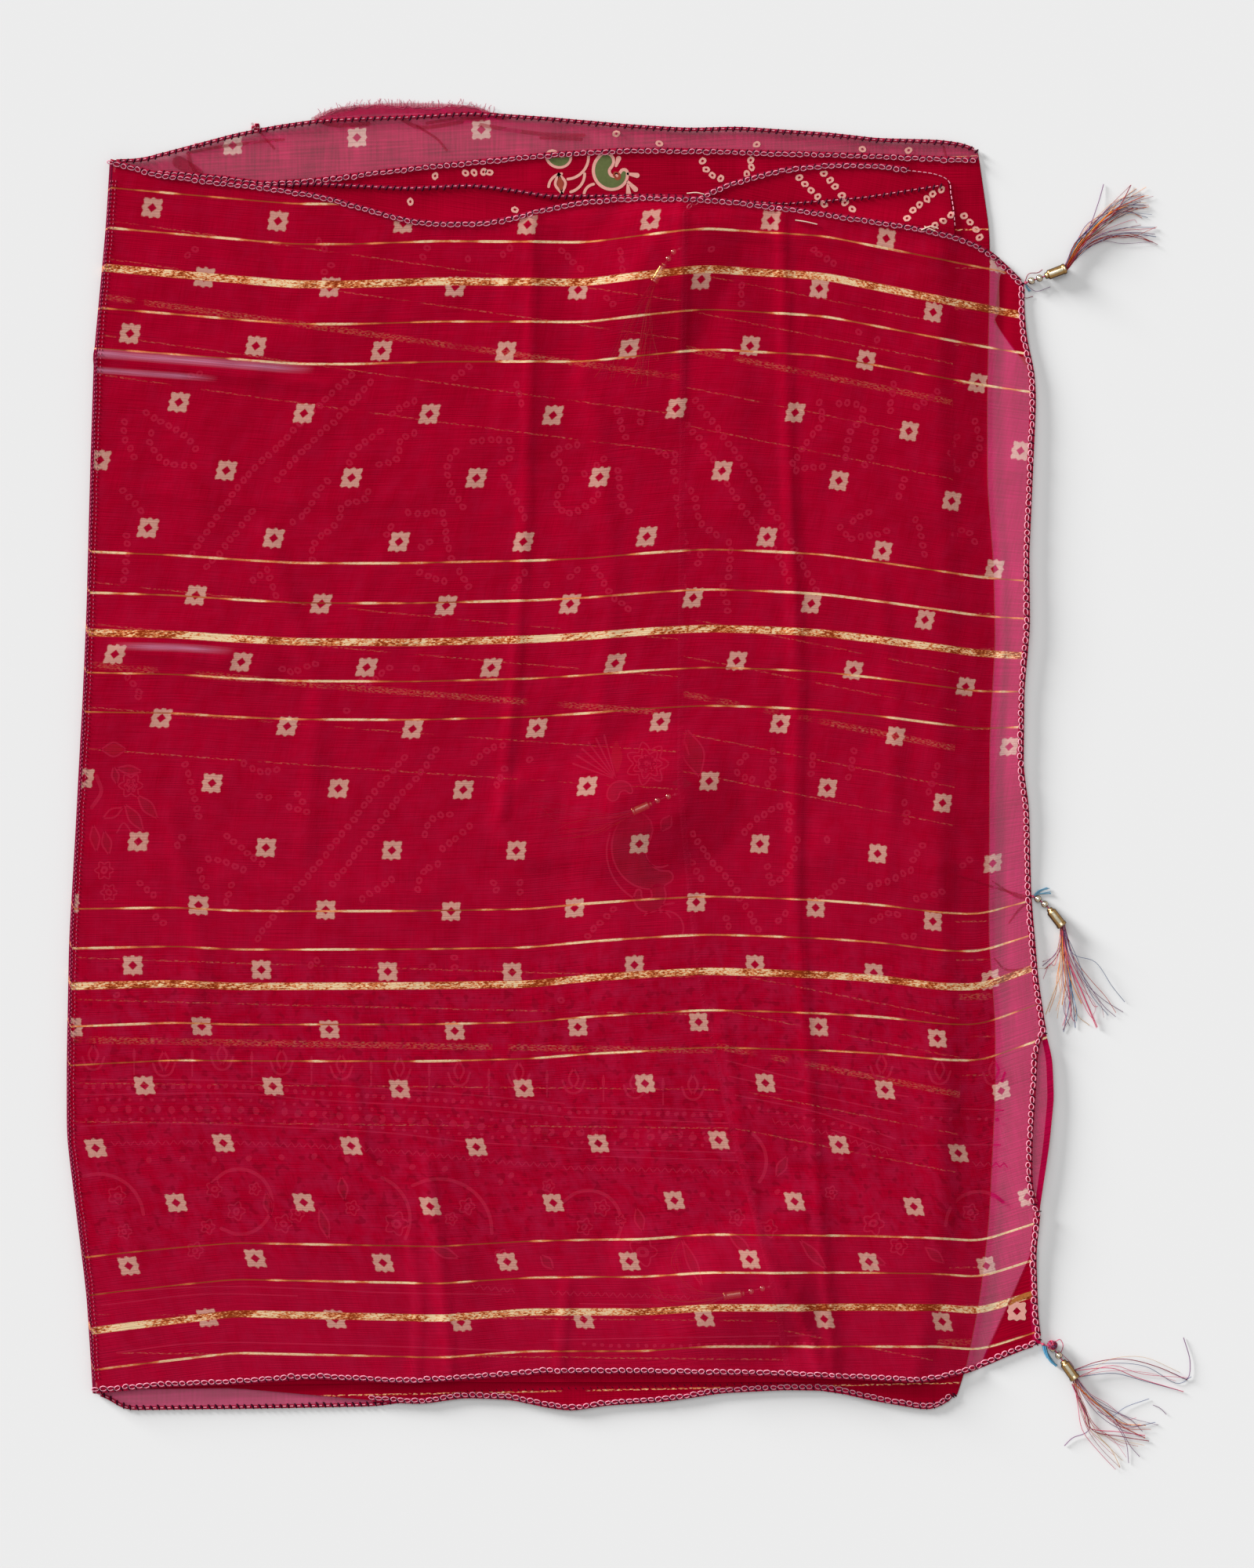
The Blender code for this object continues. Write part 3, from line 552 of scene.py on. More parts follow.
class Field:
    """A number in a shader's nodes, so that a pattern can be written as a sum."""

    def __init__(self, tree, socket):
        self.tree = tree
        self.socket = socket

    def math(self, operation, *others, clamp=False):
        node = self.tree.nodes.new("ShaderNodeMath")
        node.operation = operation
        node.use_clamp = clamp
        for i, value in enumerate((self, *others)):
            if isinstance(value, Field):
                self.tree.links.new(value.socket, node.inputs[i])
            else:
                node.inputs[i].default_value = value
        return Field(self.tree, node.outputs[0])

    def __add__(self, other):
        return self.math("ADD", other)

    def __sub__(self, other):
        return self.math("SUBTRACT", other)

    def __mul__(self, other):
        return self.math("MULTIPLY", other)

    def __truediv__(self, other):
        return self.math("DIVIDE", other)

    def abs(self):
        return self.math("ABSOLUTE")

    def least(self, other):
        return self.math("MINIMUM", other)

    def most(self, other):
        return self.math("MAXIMUM", other)

    def wrapped(self, period):
        """Distance to the nearest multiple of a period, with its sign."""
        return self.math("WRAP", period / 2, -period / 2)

    def reach(self, other):
        """Length of (self, other)."""
        return (self * self + other * other).math("SQRT")

    def inside(self, edge, blur=0.3):
        """1 where this number is under the edge, fading to 0 over the blur."""
        return (self * (-1.0 / blur)).math("ADD", edge / blur + 0.5, clamp=True)

    def without(self, mask):
        return self * (mask * -1.0 + 1.0)


def noise(tree, u, v, along, across, detail=2.0, roughness=0.6, seed=0.0):
    """Noise between 0 and 1 with its own size along and across the cloth, in millimetres."""
    vector = tree.nodes.new("ShaderNodeCombineXYZ")
    tree.links.new((u / along).socket, vector.inputs[0])
    tree.links.new((v / across).socket, vector.inputs[1])
    vector.inputs[2].default_value = seed
    texture = tree.nodes.new("ShaderNodeTexNoise")
    texture.inputs["Scale"].default_value = 1.0
    texture.inputs["Detail"].default_value = detail
    texture.inputs["Roughness"].default_value = roughness
    tree.links.new(vector.outputs[0], texture.inputs["Vector"])
    return Field(tree, texture.outputs["Fac"])


def mixed(tree, mask, first, second):
    """Colour between two colours or sockets."""
    node = tree.nodes.new("ShaderNodeMix")
    node.data_type = "RGBA"
    if isinstance(mask, Field):
        tree.links.new(mask.socket, node.inputs["Factor"])
    else:
        node.inputs["Factor"].default_value = mask
    for name, value in (("A", first), ("B", second)):
        socket = next(s for s in node.inputs if s.name == name and s.type == "RGBA")
        if isinstance(value, tuple):
            socket.default_value = (*value, 1.0)
        else:
            tree.links.new(value, socket)
    return next(s for s in node.outputs if s.type == "RGBA")


def new_material(name):
    """A material with its node tree and its shader."""
    made = bpy.data.materials.new(name)
    made.use_nodes = True
    return made, made.node_tree, made.node_tree.nodes["Principled BSDF"]


def add_bump(tree, shader, height, strength, distance):
    bump = tree.nodes.new("ShaderNodeBump")
    bump.inputs["Strength"].default_value = strength
    bump.inputs["Distance"].default_value = distance * MM
    tree.links.new(height.socket, bump.inputs["Height"])
    tree.links.new(bump.outputs[0], shader.inputs["Normal"])


def print_fields(tree):
    """Flat cloth coordinates in millimetres."""
    uv = tree.nodes.new("ShaderNodeUVMap")
    uv.uv_map = "print"
    split = tree.nodes.new("ShaderNodeSeparateXYZ")
    tree.links.new(uv.outputs[0], split.inputs[0])
    scale = 1.0 / MM
    return Field(tree, split.outputs[0]) * scale, Field(tree, split.outputs[1]) * scale


def squares_mask(u, v, speck):
    """Small notched squares with a hole, in brick-laid rows."""
    across = v + (u - SKEW_CENTRE) * -ROW_SKEW - FIRST_ROW
    row = (across / ROW_PITCH).math("ROUND")
    b = across - row * ROW_PITCH
    a = (u - row * (COLUMN_PITCH / 2)).wrapped(COLUMN_PITCH)
    angle = a.math("ARCTAN2", b)
    edge = (angle * 4.0).math("COSINE") * -SQUARE_NOTCH + (angle * 8.0).math("COSINE") * SQUARE_RIPPLE
    edge = edge + SQUARE_REACH
    solid = (a.reach(b) + (speck - 0.5) * 1.0 - edge).inside(0.0, 0.8)
    hole = (a.abs() + b.abs()).inside(SQUARE_HOLE, 0.8)
    return solid.without(hole)


def zari(tree, u, v, speck, top):
    """Gold stripes: where they are, and how brightly each stretch glints, as painted highlights in the
    colour.
    """
    across = v.wrapped(STRIPE_GROUP_PITCH)
    grain = noise(tree, u, v, 2.6, 1.0, detail=1.0, roughness=0.8)
    line = (v / STRIPE_PITCH).math("ROUND")
    shine = noise(tree, u + line * 173.0, v, 52.0, 400.0, detail=2.0, roughness=0.75)
    near = across.abs().inside(62.0, 1.0)
    if not top:
        dash = noise(tree, u, v, 2.2, 0.7, detail=0.0, seed=5.0)
        shred = (dash * -1.0).inside(-0.48, 0.08) * (shine * -1.0).inside(-0.43, 0.1)
        wide = across.abs().inside(1.9, 1.0)
        thin = v.wrapped(STRIPE_PITCH).abs().inside(0.45, 0.3) * near
        return wide.most(thin) * shred, (grain * 2.4).math("SUBTRACT", 0.6, clamp=True)
    wide = (across.abs() + grain * 0.8).inside(2.75, 0.4)
    bright = (shine * -1.0).inside(-0.5, 0.14)
    near = near.without(wide)
    thin = (v.wrapped(STRIPE_PITCH).abs() - bright * 0.36).inside(0.36, 0.4) * near
    twist = noise(tree, u + v * 1.2, v, 10.0, 7.0, detail=2.0)
    turned = (twist - 0.5) * 2.8 + (grain - 0.5) * 3.8 + (shine - 0.5) * 3.8 + 0.5
    lit = bright * (grain * 1.6 + 0.1)
    glint = wide * turned + lit.without(wide)
    return wide.most(thin), glint.math("ADD", 0.06, clamp=True)


# Painted highlights where the top ply's folds catch the light: start and end along the cloth, middle and
# width across it
PAINTED_HIGHLIGHT_STREAKS = ((-60.0, 118.0, 52.0, 3.4), (-60.0, 60.0, 62.0, 2.4), (36.0, 112.0, 228.0, 3.0))


def highlight_streak(u, v, start, end, middle, width):
    """A painted highlight streak along the cloth, fading out at both ends."""
    beside = (v - middle).abs().inside(width * 0.5, width)
    along = (u - (start + end) / 2).abs().inside((end - start) / 2 - 12.0, 24.0)
    return beside * along


# Edges of the strip's turned corners in photo pixels: start, end and a point within
TOP_TURNED = (((1268, 412), (1302, 458), (1300, 400)), ((1276, 340), (1268, 412), (1300, 400)))
BOTTOM_TURNED = ((1321, 1585), (1250, 1742), (1300, 1690))


def side_of(u, v, start, end, within):
    """Flat distance from a line through two photo points, more than 0 on the side of the third."""
    a, b, c = (np.array([float(n) for n in top_print(*on_sheet([spot])[0])]) for spot in (start, end, within))
    across = np.array((a[1] - b[1], b[0] - a[0]))
    across *= np.sign(across @ (c - a)) / np.linalg.norm(across)
    return u * across[0] + v * across[1] - float(across @ a)


def doubled(u, v):
    """Where the strip on the floor has its corners turned under, so that it is as dark as the rest."""
    low, high = (side_of(u, v, *edge) for edge in TOP_TURNED)
    bottom = side_of(u, v, *BOTTOM_TURNED)
    return (low.least(high).most(bottom) * -1.0).inside(0.0, 1.6)


def cloth_material(name, squares, base, ink, alpha, spread=1.25, thread=0.7, top=False):
    """Sheer voile. base is the dyed ground, ink the undyed print, thread the size of its weave lines."""
    made, tree, shader = new_material(name)
    u, v = print_fields(tree)
    ground = noise(tree, u, v, 30.0, 38.0, detail=1.0)
    slub = noise(tree, u, v, 26.0, thread, detail=0.0, seed=3.0)
    warp = noise(tree, u, v, thread, 20.0, detail=0.0, seed=7.0)
    speck = noise(tree, u, v, 1.1, 0.8, detail=0.0, seed=11.0)
    tone = (ground - 0.5) * 0.8 + (slub + warp - 1.0) * 0.55 + 0.5
    dark = tuple(c / spread for c in base)
    light = (base[0] * spread, base[1] * spread, base[2] * spread * 1.25)
    colour = mixed(tree, tone.math("ADD", 0.0, clamp=True), dark, light)
    if top and alpha < 0.7:
        low = (v * (1.0 / 620.0) - 0.1).math("ADD", 0.0, clamp=True)
        haze = noise(tree, u, v, 9.0, 12.0, detail=3.0, seed=17.0)
        floral = (v - 520.0).abs().inside(95.0, 30.0)
        haze = (haze - 0.5) * (floral * 1.6 + 1.0) + low * 0.3 + 0.05
        blot = noise(tree, u, v, 6.0, 6.0, detail=1.0, seed=23.0)
        colour = mixed(tree, haze.math("ADD", 0.0, clamp=True), colour, MILKY)
        colour = mixed(tree, (blot * -1.0).inside(-0.62, 0.08) * floral * 0.6, colour, SHADED)
    if name == "sheer_over_floor":
        colour = mixed(tree, doubled(u, v), colour, DOUBLED_CRIMSON)
    if squares:
        worn = (slub + warp) * 0.3 + 0.62
        printed = squares_mask(u, v, speck) * (u * -1.0).inside(LAST_SQUARE, 1.0) * v.inside(LAST_ROW, 1.0)
        colour = mixed(tree, printed * worn, colour, ink)
    stripe, bright = zari(tree, u, v, speck, top)
    # The gold runs from dark to bright with the glint: the thread's own tone together with painted highlights
    low, high = bright * 2.0, (bright * 2.0).math("SUBTRACT", 1.0, clamp=True)
    metal = mixed(tree, low.math("ADD", 0.0, clamp=True), ZARI_DARK, ZARI_MIDDLE)
    metal = mixed(tree, high, metal, ZARI_BRIGHT)
    colour = mixed(tree, stripe, colour, metal)
    # Painted highlights on the top ply's folds, mixed into its colour
    if top and alpha < 0.7:
        first, second, third = (highlight_streak(u, v, *row) for row in PAINTED_HIGHLIGHT_STREAKS)
        highlight_mask = first.most(second).most(third)
        colour = mixed(tree, highlight_mask * (slub * 0.6 + 0.25), colour, PAINTED_HIGHLIGHT)
    tree.links.new(colour, shader.inputs["Base Color"])
    tree.links.new((stripe * 0.35).socket, shader.inputs["Metallic"])
    tree.links.new((stripe * -0.3 + 0.8).socket, shader.inputs["Roughness"])
    shader.inputs["Alpha"].default_value = alpha
    shader.inputs["Specular IOR Level"].default_value = 0.0
    add_bump(tree, shader, ground * 2.2 + slub * 0.35, 0.6, 1.0)
    return made


def plain_material(name, colour, roughness, vary, size, metallic=0.0, alpha=1.0):
    """A finish with fine uneven colour and grain, placed by the object's own coordinates."""
    made, tree, shader = new_material(name)
    place = tree.nodes.new("ShaderNodeTexCoord")
    texture = tree.nodes.new("ShaderNodeTexNoise")
    texture.inputs["Scale"].default_value = 1.0 / (size * MM)
    texture.inputs["Detail"].default_value = 3.0
    tree.links.new(place.outputs["Object"], texture.inputs["Vector"])
    fac = Field(tree, texture.outputs["Fac"])
    dark = tuple(c * (1.0 - vary) for c in colour)
    light = tuple(min(1.0, c * (1.0 + vary)) for c in colour)
    tree.links.new(mixed(tree, fac, dark, light), shader.inputs["Base Color"])
    tree.links.new((fac * 0.2 + (roughness - 0.1)).socket, shader.inputs["Roughness"])
    shader.inputs["Metallic"].default_value = metallic
    shader.inputs["Alpha"].default_value = alpha
    shader.inputs["Specular IOR Level"].default_value = 0.5 if metallic else 0.06
    add_bump(tree, shader, fac, 0.25, 0.15)
    return made


def lit_and_shaded_metal(name, dark, middle, light, roughness, edge):
    """Metal with uneven grain, painted shade low on its flanks and a painted highlight on top, by the slope
    of its surface.
    """
    made = plain_material(name, middle, roughness, 0.3, 1.5, metallic=1.0)
    tree = made.node_tree
    shader = tree.nodes["Principled BSDF"]
    geometry = tree.nodes.new("ShaderNodeNewGeometry")
    split = tree.nodes.new("ShaderNodeSeparateXYZ")
    tree.links.new(geometry.outputs["Normal"], split.inputs[0])
    level = Field(tree, split.outputs[2]) * -1.0
    worn = shader.inputs["Base Color"].links[0].from_socket
    # Painted highlight where the surface faces straight up, painted shade where it slopes away down the
    # flanks
    painted_top_highlight = mixed(tree, level.inside(-0.95, 0.06), worn, light)
    tree.links.new(mixed(tree, level.inside(-edge, 0.3), dark, painted_top_highlight), shader.inputs["Base Color"])
    return made


def frame_along(direction):
    direction = Vector(direction).normalized()
    side = Vector((0, 0, 1)).cross(direction)
    side = side.normalized() if side.length > 1e-6 else Vector((1, 0, 0))
    return direction, side, direction.cross(side)


class Threads:
    """Many thin tubes gathered into one mesh, each with its own material."""

    def __init__(self):
        self.points, self.faces, self.indices, self.count = [], [], [], 0

    def tube(self, line, radius, sides=3, material=0, closed=False):
        """line is a list of points and radius one number or one for each point."""
        line = np.asarray(line, float)
        count = len(line)
        if closed:
            ahead, behind = np.roll(line, -1, 0), np.roll(line, 1, 0)
        else:
            ahead = np.vstack((line[1:], line[-1:]))
            behind = np.vstack((line[:1], line[:-1]))
        tangent = ahead - behind
        tangent /= np.linalg.norm(tangent, axis=1)[:, None] + 1e-9
        side = np.stack((-tangent[:, 1], tangent[:, 0], np.zeros(count)), axis=1)
        length = np.linalg.norm(side, axis=1)
        side[length < 1e-4] = (1.0, 0.0, 0.0)
        side /= np.linalg.norm(side, axis=1)[:, None]
        up = np.cross(tangent, side)
        radius = np.broadcast_to(np.asarray(radius, float), (count,))
        angles = math.pi / 2 + 2 * math.pi * np.arange(sides) / sides
        rings = line[:, None] + radius[:, None, None] * (
            side[:, None] * np.cos(angles)[None, :, None] + up[:, None] * np.sin(angles)[None, :, None])
        self.points.append(rings.reshape(-1, 3))
        i = np.arange(count if closed else count - 1)[:, None]
        k = np.arange(sides)[None, :]
        a, b = i * sides + k, i * sides + (k + 1) % sides
        c, d = (i + 1) % count * sides + (k + 1) % sides, (i + 1) % count * sides + k
        quads = np.stack((a, b, c, d), axis=-1).reshape(-1, 4) + self.count
        self.faces.append(quads)
        self.indices.append(np.full(len(quads), material))
        self.count += count * sides

    def ribbon(self, left, right, material):
        """A flat band between two lines."""
        count = len(left)
        self.points.append(np.concatenate((left, right)))
        i = np.arange(count - 1)
        self.faces.append(np.stack((i, count + i, count + i + 1, i + 1), axis=1) + self.count)
        self.indices.append(np.full(count - 1, material))
        self.count += 2 * count

    def build(self, name, materials):
        return make_mesh(name, np.concatenate(self.points), np.concatenate(self.faces), materials,
                         np.concatenate(self.indices))


def lathe(name, profile, segments, start, direction, material):
    """A closed profile of (distance along the axis, radius) turned round the axis."""
    direction, side, up = (np.array(a) for a in frame_along(direction))
    profile = np.asarray(profile, float)
    angles = 2 * math.pi * np.arange(segments) / segments
    outward = np.cos(angles)[:, None] * side + np.sin(angles)[:, None] * up
    points = (np.asarray(start)[None, None] + profile[None, :, :1] * direction
              + profile[None, :, 1:] * outward[:, None])
    count = len(profile)
    i, j = np.arange(segments)[:, None], np.arange(count)[None, :]
    a, b = i * count + j, (i + 1) % segments * count + j
    c, d = (i + 1) % segments * count + (j + 1) % count, i * count + (j + 1) % count
    faces = np.stack((a, b, c, d), axis=-1).reshape(-1, 4)
    return make_mesh(name, points.reshape(-1, 3), faces, [material])


def ride(piece):
    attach(piece, "root")
    return piece


# Camera, floor and light
VIEW_HEIGHT = 1.0
CAMERA_HEIGHT = 2.8
SENSOR = 36.0
FLOOR_SIZE = 4.0
FLOOR_HEIGHT = -0.0003
FLOOR_GREY = 0.8
WORLD_STRENGTH = 0.425
# Name, azimuth, elevation, softness and energy
SUNS = (("key", 145, 13.4, 18, 5.65), ("top", 120, 66, 40, 0.72))


def make_camera():
    camera = bpy.data.cameras.new("camera")
    camera.sensor_fit = "VERTICAL"
    camera.sensor_height = SENSOR
    camera.lens = SENSOR * CAMERA_HEIGHT / VIEW_HEIGHT
    camera.clip_end = 20.0
    thing = bpy.data.objects.new("camera", camera)
    thing.location = (0.0, 0.0, CAMERA_HEIGHT)
    bpy.context.scene.collection.objects.link(thing)
    bpy.context.scene.camera = thing


def make_sun(name, azimuth, elevation, softness, energy):
    """Azimuth is where the light comes from, in degrees from +X."""
    light = bpy.data.lights.new(name, "SUN")
    light.angle = math.radians(softness)
    light.energy = energy
    thing = bpy.data.objects.new(name, light)
    a, e = math.radians(azimuth), math.radians(elevation)
    towards = Vector((math.cos(a) * math.cos(e), math.sin(a) * math.cos(e), math.sin(e)))
    thing.rotation_euler = towards.to_track_quat("Z", "Y").to_euler()
    bpy.context.scene.collection.objects.link(thing)


def make_stage():
    mesh = bpy.data.meshes.new("floor")
    ways = ((-1, -1), (1, -1), (1, 1), (-1, 1))
    corners = [(x * FLOOR_SIZE, y * FLOOR_SIZE, FLOOR_HEIGHT) for x, y in ways]
    mesh.from_pydata(corners, [], [(0, 1, 2, 3)])
    floor = bpy.data.objects.new("floor", mesh)
    made, _, shader = new_material("floor")
    shader.inputs["Base Color"].default_value = (FLOOR_GREY, FLOOR_GREY, FLOOR_GREY, 1.0)
    shader.inputs["Roughness"].default_value = 1.0
    shader.inputs["Specular IOR Level"].default_value = 0.0
    mesh.materials.append(made)
    bpy.context.scene.collection.objects.link(floor)
    world = bpy.data.worlds.new("studio")
    world.use_nodes = True
    background = world.node_tree.nodes["Background"]
    background.inputs["Color"].default_value = (1.0, 1.0, 1.0, 1.0)
    background.inputs["Strength"].default_value = WORLD_STRENGTH
    bpy.context.scene.world = world
    for sun in SUNS:
        make_sun(*sun)
    bpy.context.scene.view_settings.view_transform = "Standard"


make_camera()
make_stage()

CRIMSON = (0.408, 0.0009, 0.018)
MILKY = (0.42, 0.0095, 0.05)
SHADED = (0.25, 0.002, 0.016)
DOUBLED_CRIMSON = (0.36, 0.0006, 0.017)
# Colour of the painted highlights on the top ply's folds
PAINTED_HIGHLIGHT = (0.66, 0.32, 0.5)
PALE_CRIMSON = (0.47, 0.003, 0.075)
INK = (0.69, 0.37, 0.29)
PALE_INK = (0.72, 0.42, 0.37)
cloth_materials = [
    cloth_material("sheer_over_floor", True, PALE_CRIMSON, PALE_INK, 0.75, 1.3, thread=1.1, top=True),
    cloth_material("sheer_over_plies", True, CRIMSON, INK, 0.68, top=True),
    cloth_material("sheer_rear", True, (0.37, 0.003, 0.045), PALE_INK, 0.75, 1.8, thread=1.3),
    cloth_material("sheer_rear_low", False, (0.6, 0.016, 0.11), INK, 0.66, 1.4, thread=1.6),
    cloth_material("fold_edge", False, (0.13, 0.004, 0.018), INK, 1.0, thread=1.2),
    cloth_material("hem_band", True, (0.36, 0.002, 0.035), INK, 1.0, thread=1.2, top=True),
    cloth_material("backed", False, (0.3, 0.0007, 0.0125), INK, 1.0),
]
cloth = make_cloth(cloth_materials)
ride(cloth)
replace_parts(cloth, "cloth")

# Overlock sewing
STITCH_PITCH = 4.6
LOOP_LENGTH = 4.1
LOOP_WIDTH = 2.7
BED_WIDTH = 3.7
NARROW_BED = 1.6
BED_RISE = 0.45
HEM_OVERHANG = 0.7
LOOP_THREAD = 0.42
DASH_THREAD = 0.6
NARROW_DASH_THREAD = 0.9
# The rear ply's stitches follow its hem, but run below its frayed stretch
REAR_STITCHES = (*TOP_HEM["E"][:6], (-175, 424.5), (-140, 425.5), (-100, 428), *TOP_HEM["E"][11:])
FREE_STITCHES = ((330, 300), (-140, 290), (-158, 264), (-172, 261), (-200, 259.5), (-230, 257.5),
                 (-255, 257.5), (-275, 262), (-285, 290), (-360, 300))
FINE_SEAM = ((178, 391), (196, 388.5), (205, 384), (206.5, 376), (208, 367), (209, 356))
LOOSE_BUNDLES = (
    ((38, 375.5, 8.2), (44, 376, 8.4), (49, 375, 8.2)),
    ((107, 358.5, 8.6), (114, 357.4, 8.8), (121, 355.8, 8.6)),
    ((187, 352, 9.2), (193, 354.5, 9.4), (198, 353, 9.2)),
    ((189, 354.5, 9.2), (196, 351.5, 9.4)),
)
# Rows of small stitches along the left fold: inset and how far each wanders
SELVEDGE_ROWS = ((1.8, 0.3), (3.0, 0.5), (5.2, 0.25))
FRAY_START = -196.0
FRAY_END = -86.0
HEM_KNOTS = ((-237, 418, 2.6), (-274, 407, 2.0), (-236, 420, 1.5))

# Name, colour, roughness, unevenness and the size of its grain
SEAM_FINISHES = (
    ("loop_pink", (0.88, 0.33, 0.43), 0.6, 0.3, 2.0),
    ("dash_dark", (0.06, 0.003, 0.016), 0.7, 0.4, 2.0),
    ("seam_maroon", (0.38, 0.004, 0.035), 0.7, 0.4, 2.0),
    ("selvedge_pink", (0.5, 0.09, 0.16), 0.7, 0.3, 2.0),
    ("hidden_seam", (0.36, 0.012, 0.05), 0.7, 0.3, 2.0),
    ("loose_cream", (0.85, 0.62, 0.5), 0.6, 0.2, 2.0),
)
seam_materials = [plain_material(*finish) for finish in SEAM_FINISHES]


def rounded_line(points, steps):
    """A smooth line through points, as a Catmull-Rom curve."""
    points = np.asarray(points, float)
    padded = np.vstack((2 * points[0] - points[1], points, 2 * points[-1] - points[-2]))
    line = []
    for i in range(1, len(padded) - 2):
        p0, p1, p2, p3 = padded[i - 1:i + 3]
        for k in range(steps):
            t = k / steps
            line.append(0.5 * (2 * p1 + (p2 - p0) * t + (2 * p0 - 5 * p1 + 4 * p2 - p3) * t * t
                               + (3 * p1 - p0 - 3 * p2 + p3) * t ** 3))
    line.append(padded[-2])
    return np.array(line)


def resampled(line, pitch):
    """Points a pitch apart along a line, with the direction there."""
    line = np.asarray(line, float)
    run = np.concatenate(([0.0], np.cumsum(np.linalg.norm(np.diff(line, axis=0), axis=1))))
    where = np.arange(pitch / 2, run[-1], pitch)
    spots = np.stack([np.interp(where, run, line[:, i]) for i in range(3)], axis=1)
    ahead = np.stack([np.interp(where + 1.0, run, line[:, i]) for i in range(3)], axis=1)
    behind = np.stack([np.interp(where - 1.0, run, line[:, i]) for i in range(3)], axis=1)
    tangent = ahead - behind
    return spots, tangent / np.linalg.norm(tangent, axis=1)[:, None]


def overlock(threads, line, inward, loops=True, seed=1, inks=(0, 1, 2)):
    """Chain loops and dark slanting threads along one hem. inward is +1 when the cloth lies to the left."""
    rng = np.random.default_rng(seed)
    spots, tangents = resampled(line, STITCH_PITCH)
    angles = 2 * math.pi * np.arange(8) / 8
    sides = np.stack((-tangents[:, 1], tangents[:, 0], np.zeros(len(tangents))), axis=1) * inward
    bed = spots + (0, 0, BED_RISE)
    width = BED_WIDTH - HEM_OVERHANG if loops else NARROW_BED
    threads.ribbon(bed - sides * HEM_OVERHANG, bed + sides * width, inks[2])
    for spot, tangent, side in zip(spots, tangents, sides):
        shift = rng.normal(0.0, 0.22, 2)
        middle = spot + side * (1.6 + shift[0]) + tangent * shift[1]
        if loops:
            length, width = LOOP_LENGTH * rng.uniform(0.85, 1.15), LOOP_WIDTH * rng.uniform(0.75, 1.15)
            lean = rng.uniform(-0.5, 0.5)
            ring = [middle + tangent * (length / 2 * math.cos(a) + lean * math.sin(a))
                    + side * (width / 2 * math.sin(a)) + np.array((0, 0, 0.9 + 0.15 * math.sin(2 * a)))
                    for a in angles]
            threads.tube(ring, LOOP_THREAD, closed=True, material=inks[0])
        reach = 2.4 if loops else 2.2
        start = spot + side * (reach + shift[0]) + tangent * (STITCH_PITCH / 2 - 0.8)
        end = spot - side * HEM_OVERHANG + tangent * (STITCH_PITCH / 2 + rng.uniform(0.3, 1.1))
        over = (start + end) / 2
        thick = DASH_THREAD if loops else NARROW_DASH_THREAD
        threads.tube([start + (0, 0, 0.6), over + (0, 0, 1.3), end + (0, 0, 0.4)],
                     [thick * 0.7, thick, thick * 0.7], material=inks[1])
        if not loops:
            back = spot + side * 0.5 - tangent * 1.3
            stitch = [back + (0, 0, 0.7), back + tangent * 2.0 + (0, 0, 0.8)]
            threads.tube(stitch, LOOP_THREAD, material=inks[0])


def hem_line(ply, curve, start, end):
    x = np.linspace(start, end, 400)
    y = curve(x)
    z = top_ply_height(x, y) if ply == "A" else lower_ply_height(ply, x, y)
    return np.stack((x, y, z), axis=1)


rear_stitches = smooth(REAR_STITCHES)
free_stitches = smooth(FREE_STITCHES)
sewing = Threads()
free_y = np.linspace(318.0, -356.0, 500)
free_x = free_end(free_y)
free_height = top_ply_height(free_x, free_y)
free_line = np.stack((np.minimum(free_x, free_stitches(free_y)), free_y, free_height), axis=1)
overlock(sewing, hem_line("A", top_hem["A"], -331, 252), -1, seed=11)
overlock(sewing, free_line, -1, seed=12)
overlock(sewing, hem_line("A", bottom_hem["A"], -340, 263), 1, seed=13)
overlock(sewing, hem_line("E", rear_stitches, -328, 224), -1, False, seed=14)
overlock(sewing, hem_line("E", bottom_hem["E"], -338, 208), 1, False, seed=15)
overlock(sewing, hem_line("D", top_hem["D"], -300, 224), -1, seed=16)
overlock(sewing, hem_line("D", bottom_hem["D"], -165, 208), 1, seed=17)
overlock(sewing, hem_line("B", top_hem["B"], -300, 200), -1, False, seed=18)
overlock(sewing, hem_line("C", top_hem["C"], 37, 178), -1, seed=19)
end_y = np.linspace(366.0, -378.0, 400)
end_x = hidden_end(end_y)
end_line = np.stack((end_x, end_y, lower_ply_height("C", end_x, end_y)), axis=1)
overlock(sewing, end_line, 1, seed=20, inks=(4, 4, 4))
line = rounded_line(FINE_SEAM, 8)
spots, ways = resampled(np.column_stack((line, np.full(len(line), OPEN_PLY_PITCH * 3 + 1.0))), 3.4)
for spot, way in zip(spots, ways):
    sewing.tube([spot - way * 1.1, spot + (0, 0, 0.25), spot + way * 1.1], 0.4, material=0)
edge_y = np.linspace(385.0, -380.0, 300)
for inset, wander in SELVEDGE_ROWS:
    edge_x = left_fold(edge_y) + inset + wander * np.sin(edge_y / 7.0) * np.sin(edge_y / 3.1)
    edge = np.stack((edge_x, edge_y, top_ply_height(edge_x, edge_y) + 0.25), axis=1)
    spots, ways = resampled(edge, 2.7)
    for spot, way in zip(spots, ways):
        sewing.tube([spot - way * 0.55, spot + way * 0.55], 0.34, material=3)
fray = np.random.default_rng(21)
